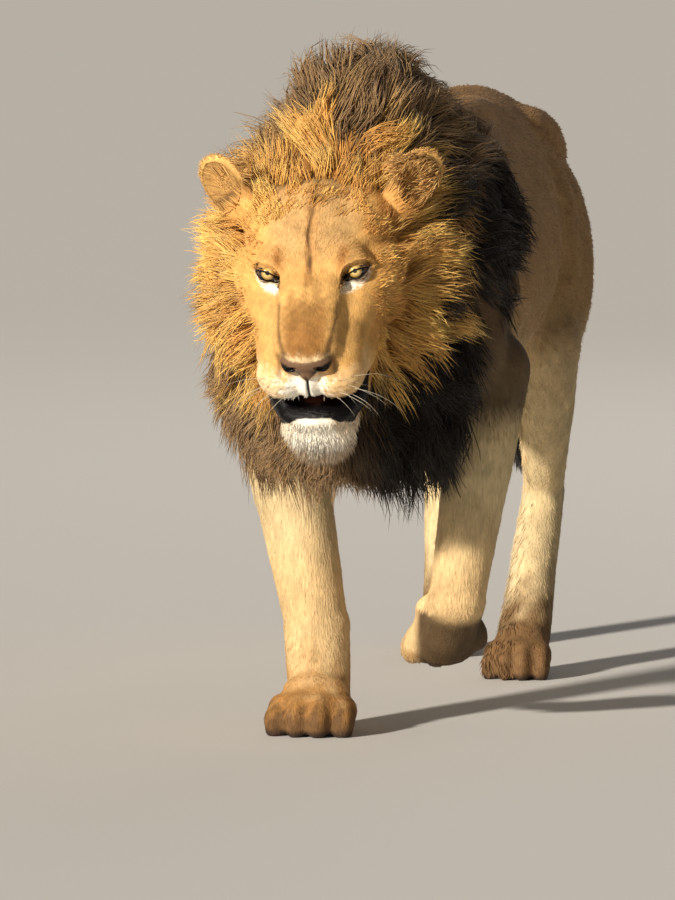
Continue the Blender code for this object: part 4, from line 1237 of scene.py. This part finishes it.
def buildTufts(name, ground, part, density):
    spec = shortCoat[part]
    points, normals, spots = scatter(ground, density, spec["count"], spec["seed"])
    dice = np.random.default_rng(spec["seed"] + 100)
    lengths = tuftLength(points) * dice.uniform(0.65, 1.25, len(points))
    points, normals = settle(points, hideTree, spec["sink"])
    paths = comb(points, normals, lengths, coatLie, spec)
    tone = coatColour(points) * dice.uniform(0.88, 1.12, len(points))[:, None]
    tones = np.stack([tone * spec["root"], tone * spec["tip"]], axis=1)
    made = strandMesh(name, paths, 0.0013 + lengths * 0.10, tones, spots, [1.0], normals)
    made.data.materials.append(shortHair)
    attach(made, "root")
    print(name, len(points), "tufts")


def headDensity(p):
    q = toHead(p)
    bare = np.maximum.reduce([bareSkin(q), ramp(-0.001, 0.001, mouthDeep(q)), 0.9 * furrowLine(q)])
    finer = 0.45 + 1.3 * ramp(0.12, 0.03, q[:, 1]) + 1.6 * ramp(-0.02, -0.10, q[:, 1])
    return headShare(p) * (1 - ramp(0.3, 0.6, bare)) * finer + 1e-9


def trunkDensity(p):
    y, z = p[:, 1], p[:, 2]
    return (1 - headShare(p)) * ramp(0.50, 0.56, z) * (1 - 0.97 * underMane(p)) * (y < tail["from"]) + 1e-9


def legDensity(p):
    y, z = p[:, 1], p[:, 2]
    share = np.maximum(ramp(0.56, 0.50, z) * (1 - headShare(p)), y > tail["from"])
    return share * ramp(0.004, 0.012, z) * (0.7 + 0.9 * ramp(0.2, 0.08, z)) + 1e-9


# The mane: a mass of underwool, darkened as painted shade for the depth under the locks, and over it long
# locks that leave the face all round.

mane = {
    "name": "maneLocks", "core": 0.036, "locks": 1850, "strands": 18, "width": 0.0024, "spread": 0.018,
    "levels": 4, "profile": (0.7, 1.0, 0.85, 0.55), "close": 0.50, "curl": 0.0065, "veer": 0.14,
    "pitch": 0.11, "swirl": 0.42, "turn": 0.44, "lift": 0.75, "sag": 0.18, "seed": 40, "pieces": 5,
    "face": (-0.040, -0.372, 0.738),
}
ruff = {
    "name": "cheekRuff", "locks": 680, "strands": 17, "width": 0.0018, "spread": 0.012,
    "levels": 3, "profile": (0.75, 1.0, 0.65), "close": 0.40, "curl": 0.0045, "veer": 0.14, "pitch": 0.11,
    "swirl": 0.26, "turn": 0.44, "lift": 0.40, "sag": 0.06, "seed": 60, "pieces": 1, "sink": 0.001,
}


def faceRing(q):
    # 1 on the edge of the short-haired face, more outside it
    x, z = q[:, 0], q[:, 2] + 0.030
    return np.hypot(x / 0.096, z / np.where(z > 0, 0.128, 0.142)) + 0.6 * ramp(0.02, 0.12, q[:, 1])


def ruffDensity(p):
    q = toHead(p)
    jawFront = ramp(-0.02, -0.05, q[:, 1]) * ramp(-0.09, -0.11, q[:, 2])
    ring, back = ramp(1.00, 1.06, faceRing(q)), ramp(0.20, 0.16, q[:, 1])
    return headShare(p) * ring * (1 - jawFront) * (1 - 0.8 * earShare(q)[0]) * back + 1e-9


fringe = {
    "name": "shoulderFringe", "locks": 400, "strands": 14, "width": 0.0024, "spread": 0.017,
    "levels": 4, "profile": (0.7, 1.0, 0.85, 0.55), "close": 0.45, "curl": 0.0045, "veer": 0.12,
    "pitch": 0.12, "swirl": 0.20, "turn": 0.45, "lift": 0.30, "sag": 0.55, "seed": 70, "pieces": 1,
    "sink": 0.001,
}


def fringeDensity(p):
    # the shoulders and withers behind the mane
    y, z = p[:, 1], p[:, 2]
    return (1 - headShare(p)) * ramp(0.13, 0.06, y) * ramp(-0.20, -0.12, y) * ramp(0.66, 0.76, z) + 1e-9


def fringeTones(p):
    root, tip = maneTones(p)
    back = ramp(0.02, 0.09, p[:, 1])
    return mixed(root, dark["root"], back), mixed(tip, coat["flank"] * 0.8, back)


golden = {"root": fromScreen(204, 144, 66), "tip": fromScreen(255, 216, 126)}
goldenDeep = {"root": fromScreen(176, 120, 60), "tip": fromScreen(242, 188, 104)}
dark = {"root": fromScreen(60, 45, 31), "tip": fromScreen(178, 144, 102)}
black = {"root": fromScreen(15, 12, 10), "tip": fromScreen(40, 30, 22)}


maneMasses = (   # centre, radii and tilt of each mass of the underwool
    ((-0.042, -0.285, 0.740), (0.219, 0.125, 0.248), -14),
    ((-0.012, -0.120, 0.930), (0.162, 0.240, 0.182), 0),
    ((-0.004, -0.110, 0.780), (0.222, 0.235, 0.280), 0),
    ((-0.034, -0.215, 0.580), (0.222, 0.172, 0.150), 0),
    ((-0.010, -0.245, 0.530), (0.160, 0.145, 0.130), 0),
    ((0.145, 0.010, 0.790), (0.088, 0.150, 0.210), 0),
    ((-0.145, 0.010, 0.790), (0.088, 0.150, 0.210), 0),
    ((0, -0.050, 0.500), (0.130, 0.150, 0.080), 0),
)


def buildCore():
    clay = []
    for centre, radii, tilt in maneMasses:
        ball(clay, centre, [radius - mane["core"] for radius in radii], (tilt, 0, 0))
    return fuse("shadedManeWool", clay, 6)


def maneLie(p):
    # locks leave the face all round, then turn back over the neck and down the chest
    x, y, z = p.T
    out = p - np.array(mane["face"])
    out[:, 1] = 0
    front, chest = ramp(-0.16, -0.33, y), ramp(0.68, 0.54, z)
    side = ramp(0.03, 0.14, np.abs(x + 0.02)) * ramp(1.02, 0.86, z)
    lie = unit(out) * (0.12 + 0.95 * front)[:, None]
    lie[:, 1] += 0.30 + 0.75 * (1 - front) * (1 - 0.75 * chest)
    lie[:, 2] -= 0.05 + 0.55 * (1 - front) * side + 1.10 * chest * (1 - 0.45 * front)
    return unit(lie)


def maneTones(p):
    # root and tip colours: golden round the face, brown elsewhere, and black on the chest and the lion's
    # left, where the mane's own dark is deepened by painted shade on the side away from the light
    x, y, z = p.T
    aside, _, above = (p - np.array(mane["face"])).T
    ring = np.hypot(aside / np.where(aside < 0, 0.235, 0.215), above / np.where(above > 0, 0.270, 0.205))
    wander = 0.08 * ripple(p, 0.10, 51) + 0.05 * ripple(p, 0.035, 52)
    gold = ramp(1.06, 0.88, ring + wander) * ramp(-0.15, -0.25, y)
    deep = ramp(0.2, 0.9, 0.5 + 0.5 * ripple(p, 0.055, 53))
    # black: painted shade on the chest and the lion's left, over the mane's own dark
    low = ramp(0.66, 0.56, z) * ramp(-0.05, 0.06, x) + ramp(0.04, 0.14, x) * ramp(0.98, 0.88, z)
    tones = []
    for end in ("root", "tip"):
        warm = mixed(golden[end][None], goldenDeep[end][None], deep)
        cold = mixed(dark[end][None], black[end][None], np.clip(low, 0, 1))
        tones.append(mixed(cold, warm, gold))
    return tones


def maneLength(p):
    y, z = p[:, 1], p[:, 2]
    return 0.125 - 0.035 * ramp(-0.20, -0.34, y) + 0.030 * ramp(0.66, 0.54, z) - 0.060 * ramp(0.50, 0.42, z)


def outside(tree, points):
    # how far points stand out of the solids, less than 0 inside
    found = np.empty(len(points))
    for index, point in enumerate(points):
        place, normal, _, distance = tree.find_nearest(Vector(point))
        found[index] = distance if (Vector(point) - place).dot(normal) > 0 else -distance
    return found


def solidTree(names):
    points, faces = [], []
    for name in names:
        mesh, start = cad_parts[name].data, len(points)
        points += [v.co - shift for v in mesh.vertices]
        faces += [[start + corner for corner in f.vertices] for f in mesh.polygons]
    return BVHTree.FromPolygons(points, faces)


def skinTree(thing):
    faces = [list(f.vertices) for f in thing.data.polygons]
    return BVHTree.FromPolygons([v.co for v in thing.data.vertices], faces)


def lockPaths(points, normals, lengths, tree, spec):
    # locks that stand out of the solids are shortened, twice over
    for _ in range(2):
        paths = comb(points, normals, lengths, maneLie, spec)
        worst = np.maximum(outside(tree, paths[:, -1]) - 0.006, outside(tree, paths[:, -2]))
        lengths = lengths * np.clip(1 - np.maximum(worst, 0) / lengths * 1.3, 0.35, 1)
    return comb(points, normals, lengths, maneLie, spec)


def growLocks(spec, points, normals, spots, paths, tones):
    # many fine strands round each lock's middle line, closing towards its tip
    dice = np.random.default_rng(spec["seed"] + 1)
    each, levels = spec["strands"], spec["levels"]
    total = len(points) * each
    lock = np.repeat(np.arange(len(points)), each)
    rootTone, tipTone = tones(paths[:, levels // 2])
    across = unit(np.cross(normals, unit(dice.normal(size=normals.shape))))
    other = np.cross(normals, across)
    angle, reach = dice.uniform(0, math.tau, total), np.sqrt(dice.random(total)) * spec["spread"]
    around = across[lock] * np.cos(angle)[:, None] + other[lock] * np.sin(angle)[:, None]
    offset = around * reach[:, None] + normals[lock] * dice.normal(size=(total, 1)) * 0.002
    scale, curl = dice.uniform(0.60, 1.08, total), dice.normal(size=(total, 3)) * spec["curl"]
    shade = dice.uniform(0.86, 1.12, len(points))[lock] * dice.uniform(0.86, 1.14, total)
    strands, tone = [], []
    for level in range(levels + 1):
        t = level / levels
        centre = paths[lock, 0] + (paths[lock, level] - paths[lock, 0]) * scale[:, None]
        gathered, sink = offset * (1 - spec["close"] * t ** 1.2), normals[lock] * 0.003 * (1 - t)
        strands.append(centre + gathered + curl * t ** 1.5 - sink)
        tone.append(mixed(rootTone[lock], tipTone[lock], t ** 0.7) * shade[:, None])
    strands, tone = np.stack(strands, axis=1), np.stack(tone, axis=1)
    widths = spec["width"] * dice.uniform(0.70, 1.25, total)
    order = np.argsort(strands[:, 0, 1] + 0.002 * dice.normal(size=total))
    for piece, share in enumerate(np.array_split(order, spec["pieces"])):
        name = spec["name"] + "ABCDEFGH"[piece]
        spot = spreadOut(spots[lock[share]] + dice.uniform(-0.004, 0.004, (len(share), 2)))
        made = strandMesh(name, strands[share], widths[share], tone[share], spot, spec["profile"])
        made.data.materials.append(longHair)
        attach(made, "root")
        if name == "maneLocksA":
            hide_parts("mane")
        print(name, len(share), "strands")


def earClear(paths):
    # false for locks that would cross the front of an ear
    clear = np.ones(len(paths), bool)
    for side in (1, -1):
        for level in range(paths.shape[1]):
            own = toEar(toHead(paths[:, level]), side)
            near = np.linalg.norm(own - np.array((0, -0.010, 0.055)), axis=1) < 0.056
            clear &= ~(near & (own[:, 1] < 0.020))
    return clear


def coreDensity(p):
    return 1.0 + 0.9 * ramp(-0.24, -0.34, p[:, 1])


def buildMane(coreGround, headGround):
    tree = solidTree(["mane", "neck", "trunk", "foreleg_left", "foreleg_right",
                      "head", "ear_left", "ear_right"])

    def grow(spec, points, normals, spots, lengths):
        paths = lockPaths(points, normals, lengths, tree, spec)
        clear = earClear(paths)
        growLocks(spec, points[clear], normals[clear], spots[clear], paths[clear], maneTones)

    count = mane["locks"]
    points, normals, spots = scatter(coreGround, coreDensity, int(count * 1.6), mane["seed"])
    free = outside(hideTree, points) > 0.004
    points, normals, spots = points[free][:count], normals[free][:count], spots[free][:count]
    grow(mane, points, normals, spots, maneLength(points))
    points, normals, spots = rootsOn(headGround, ruffDensity, ruff["locks"], ruff)
    grow(ruff, points, normals, spots, 0.018 + 0.062 * ramp(1.0, 1.32, faceRing(toHead(points))))
    points, normals, spots = rootsOn(headGround, fringeDensity, fringe["locks"], fringe)
    lengths = 0.100 - 0.050 * ramp(0.02, 0.10, points[:, 1]) - 0.025 * ramp(0.80, 0.66, points[:, 2])
    growLocks(fringe, points, normals, spots, comb(points, normals, lengths, maneLie, fringe), fringeTones)


def strandsOn(spec, points, aims, lengths, spots, tones, material):
    # loose strands that leave given points along given directions
    dice = np.random.default_rng(spec["seed"] + 2)
    heading, here, path, levels = unit(aims), points, [points], spec["levels"]
    for _ in range(levels):
        here = here + heading * (lengths / levels)[:, None]
        heading = unit(heading + np.array(spec["bend"]) + dice.normal(size=heading.shape) * 0.06)
        path.append(here)
    shade = dice.uniform(0.78, 1.24, len(points))[:, None]
    steps = [mixed(*tones, step / levels) * shade for step in range(levels + 1)]
    widths = spec["width"] * dice.uniform(0.7, 1.3, len(points))
    profile = (0.8, 1.0, 0.8, 0.5, 0.3)[:levels]
    made = strandMesh(spec["name"], np.stack(path, axis=1), widths, np.stack(steps, axis=1), spots, profile)
    made.data.materials.append(material)
    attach(made, "root")
    print(spec["name"], len(points), "strands")
    return made


earHair = {
    "name": "earHair", "slot": "ear", "count": 2200, "length": 0.034, "rim": 0.0055, "width": 0.0015,
    "levels": 3, "bend": (0, 0, -0.10), "seed": 80, "sink": 0.0005,
    "root": fromScreen(196, 140, 78), "tip": fromScreen(252, 210, 136),
}


def earDensity(p):
    return headShare(p) * earShare(toHead(p))[0] + 1e-9


def buildEarHair(headGround):
    # long hair inside each cup and a short fringe round its rim
    dice = np.random.default_rng(earHair["seed"] + 1)
    points, normals, spots = rootsOn(headGround, earDensity, earHair["count"], earHair)
    q = toHead(points)
    side, inside = np.sign(q[:, 0])[:, None], earShare(q)[1] > 0.4
    across = wayFromHead(side * np.array((-0.75, -0.55, 0.35)))
    outward = wayFromHead(side * np.array((0.75, 0.1, 0.0)) + np.array((0, 0, 0.75)))
    aims = np.where(inside[:, None], across, outward) + normals * 0.5 + dice.normal(size=points.shape) * 0.15
    lengths = np.where(inside, earHair["length"], earHair["rim"]) * dice.uniform(0.6, 1.2, len(points))
    warm = mixed(earHair["root"][None], earHair["tip"][None], dice.random(len(points)))
    strandsOn(earHair, points, aims, lengths, spots, (warm * 0.62, warm), shortHair)


beard = {
    "name": "chinBeard", "slot": "lower_jaw", "count": 5600, "length": 0.029, "width": 0.0012,
    "levels": 3, "bend": (0, 0, -0.22), "seed": 90, "sink": 0.0008,
}


def chinDensity(p):
    q = toHead(p)
    chin = np.clip(1.8 * blob(q, (0, -0.105, -0.228), (0.060, 0.070, 0.044)), 0, 1)
    return headShare(p) * chin * (1 - bareSkin(q)) + 1e-9


def buildBeard(headGround):
    # the longer hair of the chin, the lips' edge and the corners of the jaw
    dice = np.random.default_rng(beard["seed"] + 1)
    points, normals, spots = rootsOn(headGround, chinDensity, beard["count"], beard)
    q = toHead(points)
    x, z = q[:, 0], q[:, 2]
    down = wayFromHead(arrows(np.sign(x) * 0.12, 0.12, -1))
    lengths = beard["length"] * dice.uniform(0.5, 1.15, len(points)) * (0.45 + 0.55 * ramp(-0.185, -0.225, z))
    shadow = 0.75 * ramp(-0.214, -0.242, z + 0.008 * ripple(q, 0.012, 93))
    tone = mixed(coatColour(points), dark["tip"], shadow)
    aims = down + normals * 0.42 + dice.normal(size=points.shape) * 0.12
    strandsOn(beard, points, aims, lengths, spots, (tone * 0.88, tone * 1.15), shortHair)


whiskers = {
    "name": "whiskers", "slot": "head", "length": 0.088, "width": 0.0008, "tone": fromScreen(236, 226, 205),
    "levels": 5, "bend": (0, 0.05, -0.16), "seed": 94,
}


def buildWhiskers():
    # stiff pale whiskers from every other spot of the muzzle
    dice = np.random.default_rng(whiskers["seed"] + 1)
    starts, aims, lengths = [], [], []
    back = Vector(wayFromHead(np.array((0, 1, 0))))
    for side in (1, -1):
        for row, place, across, up in whiskerSpots():
            hit = hideTree.ray_cast(Vector(fromHead(np.array((across * side, -0.20, up)))), back)[0]
            if hit is None or place == 0 or (place + row) % 2:
                continue
            aim = np.array((side * (0.75 + 0.05 * place), -0.30 + 0.12 * place, -0.10 - 0.16 * row))
            starts.append(np.array(hit))
            aims.append(aim + dice.normal(size=3) * 0.06)
            lengths.append(whiskers["length"] * (0.45 + 0.14 * place) * dice.uniform(0.8, 1.15))
    pale = np.tile(whiskers["tone"], (len(starts), 1))
    spots = 0.05 + 0.9 * dice.random((len(starts), 2))
    aims = wayFromHead(np.array(aims))
    strandsOn(whiskers, np.array(starts), aims, np.array(lengths), spots, (pale * 0.8, pale), shortHair)


tailTuft = {
    "name": "tailTuft", "slot": "tail_tuft", "count": 1500, "length": 0.130, "width": 0.0026,
    "levels": 4, "seed": 96,
}


def buildTailTuft():
    dice = np.random.default_rng(tailTuft["seed"] + 1)
    count = tailTuft["count"]
    before, end = np.array(tail["route"][-2:])
    along = unit(end - before)
    place = dice.uniform(-0.25, 1.05, count)
    ring = unit(np.cross(along, dice.normal(size=(count, 3))))
    points = before + (end - before) * place[:, None] + ring * 0.011
    aims = along + ring * 0.32 + dice.normal(size=ring.shape) * 0.05
    lengths = tailTuft["length"] * dice.uniform(0.55, 1.0, count) * (0.75 + 0.25 * place)
    spots = np.stack([np.clip(place, 0, 1) * 0.96 + 0.02, 0.02 + 0.96 * dice.random(count)], axis=1)
    tone = np.tile(coat["tuft"], (count, 1))
    spec = {**tailTuft, "bend": along * 0.22 + np.array((0, 0, -0.10))}
    made = strandsOn(spec, points, aims, lengths, spots, (tone, tone * 2.2), longHair)
    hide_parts("tail_tuft")


def buildEyes():
    for side, name in ((1, "left"), (-1, "right")):
        bpy.ops.object.select_all(action="DESELECT")
        bpy.ops.mesh.primitive_uv_sphere_add(segments=56, ring_count=36, radius=skull["eyeRadius"])
        eye = bpy.context.object
        eye.name = eye.data.name = "eyeball_" + name
        look = np.array(headTurn.to_3x3().inverted() @ Vector((0.06, -1, 0.05)).normalized())
        p = pointsOf(eye)
        forward = (unit(p) * look).sum(axis=1)
        cornea = ramp(0.80, 0.95, forward) * 0.0016
        ring = np.sqrt(np.maximum(1 - forward ** 2, 0)) / 0.56
        across = unit(np.cross(look, np.array((0, 0, 1.0))))
        spoke = np.arctan2(p @ np.cross(across, look), p @ across)
        own = p + unit(p) * cornea[:, None] + np.array(sideways(leftEye, side))
        setPoints(eye, fromHead(own) + np.array(shift))
        setTone(eye, "ring", np.where(forward > 0, ring, 3 - ring))
        setTone(eye, "spoke", np.cos(spoke))
        shadeFaces(eye, True)
        eye.data.materials.append(eyeMaterial())
        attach(eye, "root")
        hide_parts("eye_" + name)


# Camera, floor and light.

view = {
    "turn": 10.0, "height": 1.45, "distance": 12.08, "aside": 0.0746, "pitch": 4.73, "lens": 201.6,
    "frameHeight": 24, "reach": 400,
}
studio = {
    "floorSize": 240, "floor": (0.72, 0.71, 0.69, 1), "air": (0.92, 0.89, 0.86, 1), "glow": 0.12,
    "lampsAim": (0, -0.5, 0.55),
}
lamps = {   # sort, place, power, size or angle, colour
    "key": ("SUN", (-4.4, -7.8, 3.7), 5.05, 0.07, (1.0, 0.91, 0.79)),
    "fill": ("AREA", (1.0, -9.0, 2.0), 42, 3.0, (1.0, 0.95, 0.86)),
    "back": ("AREA", (1.5, 6.0, 4.5), 45, 4.0, (1.0, 0.97, 0.92)),
}


def buildStage():
    turn = math.radians(view["turn"])
    right, ahead = Vector((math.cos(turn), math.sin(turn), 0)), Vector((-math.sin(turn), math.cos(turn), 0))
    eye = shift - ahead * view["distance"] - right * view["aside"]
    camera = addObject("camera", bpy.data.cameras.new("camera"))
    camera.location = (eye.x, eye.y, view["height"])
    camera.rotation_euler = (math.radians(90 - view["pitch"]), 0, turn)
    camera.data.sensor_fit = "VERTICAL"
    camera.data.sensor_height = view["frameHeight"]
    camera.data.lens = view["lens"]
    camera.data.clip_end = view["reach"]
    bpy.context.scene.camera = camera
    bpy.ops.object.select_all(action="DESELECT")
    bpy.ops.mesh.primitive_plane_add(size=studio["floorSize"], location=(0, 0, 0))
    floor = bpy.context.object
    floor.name = "floor"
    ground = {"Base Color": studio["floor"], "Roughness": 0.9}
    floor.data.materials.append(newMaterial("studioFloor", ground)[0])
    world = bpy.data.worlds.new("studio")
    bpy.context.scene.world = world
    world.use_nodes = True
    world.node_tree.nodes["Background"].inputs["Color"].default_value = studio["air"]
    world.node_tree.nodes["Background"].inputs["Strength"].default_value = studio["glow"]
    bpy.context.scene.view_settings.view_transform = "Standard"
    for name, (sort, place, power, size, colour) in lamps.items():
        light = bpy.data.lights.new(name, sort)
        light.energy, light.color = power, colour
        if sort == "SUN":
            light.angle = size
        else:
            light.size = size
        lamp = addObject(name, light)
        lamp.location = place
        lamp.rotation_euler = (Vector(studio["lampsAim"]) - Vector(place)).to_track_quat("-Z", "Y").to_euler()


buildStage()
print("stage set")
shortHair = hairMaterial("shortCoat", rough=0.62, sheen=0.08)
longHair = hairMaterial("longHair", rough=0.52, sheen=0.12)
skin = buildSkin()
skin.data.materials.clear()
skin.data.materials.append(skinMaterial())
print("skin", len(skin.data.polygons), "faces")
hideTree = skinTree(skin)
ground = unwrapped(skin, rootMap["skinTriangles"])
buildTufts("coatHead", ground, "head", headDensity)
buildTufts("coatTrunk", ground, "trunk", trunkDensity)
buildTufts("coatLegs", ground, "legs", legDensity)
buildEarHair(ground)
buildBeard(ground)
buildWhiskers()
buildTailTuft()
core = buildCore()
coreGround = unwrapped(core, rootMap["woolTriangles"])
buildMane(coreGround, ground)
# the underwool takes the mane's root colour at 0.6 of its brightness: painted shade for the deep of the mane
# between the locks
setTone(core, "coat", mixed(*maneTones(pointsOf(core)), 0.05) * 0.6)
core.data.materials.append(longHair)
core.data.transform(Matrix.Translation(shift))
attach(core, "root")
skin.data.transform(Matrix.Translation(shift))
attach(skin, "root")
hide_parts("head", "lower_jaw", "nose", "neck", "trunk", "tail", "ear_left", "ear_right",
            "foreleg_left", "foreleg_right", "forepaw_left", "forepaw_right", "hindleg_left", "hindleg_right",
            "hindpaw_left", "hindpaw_right")
buildEyes()
print("pieces done")
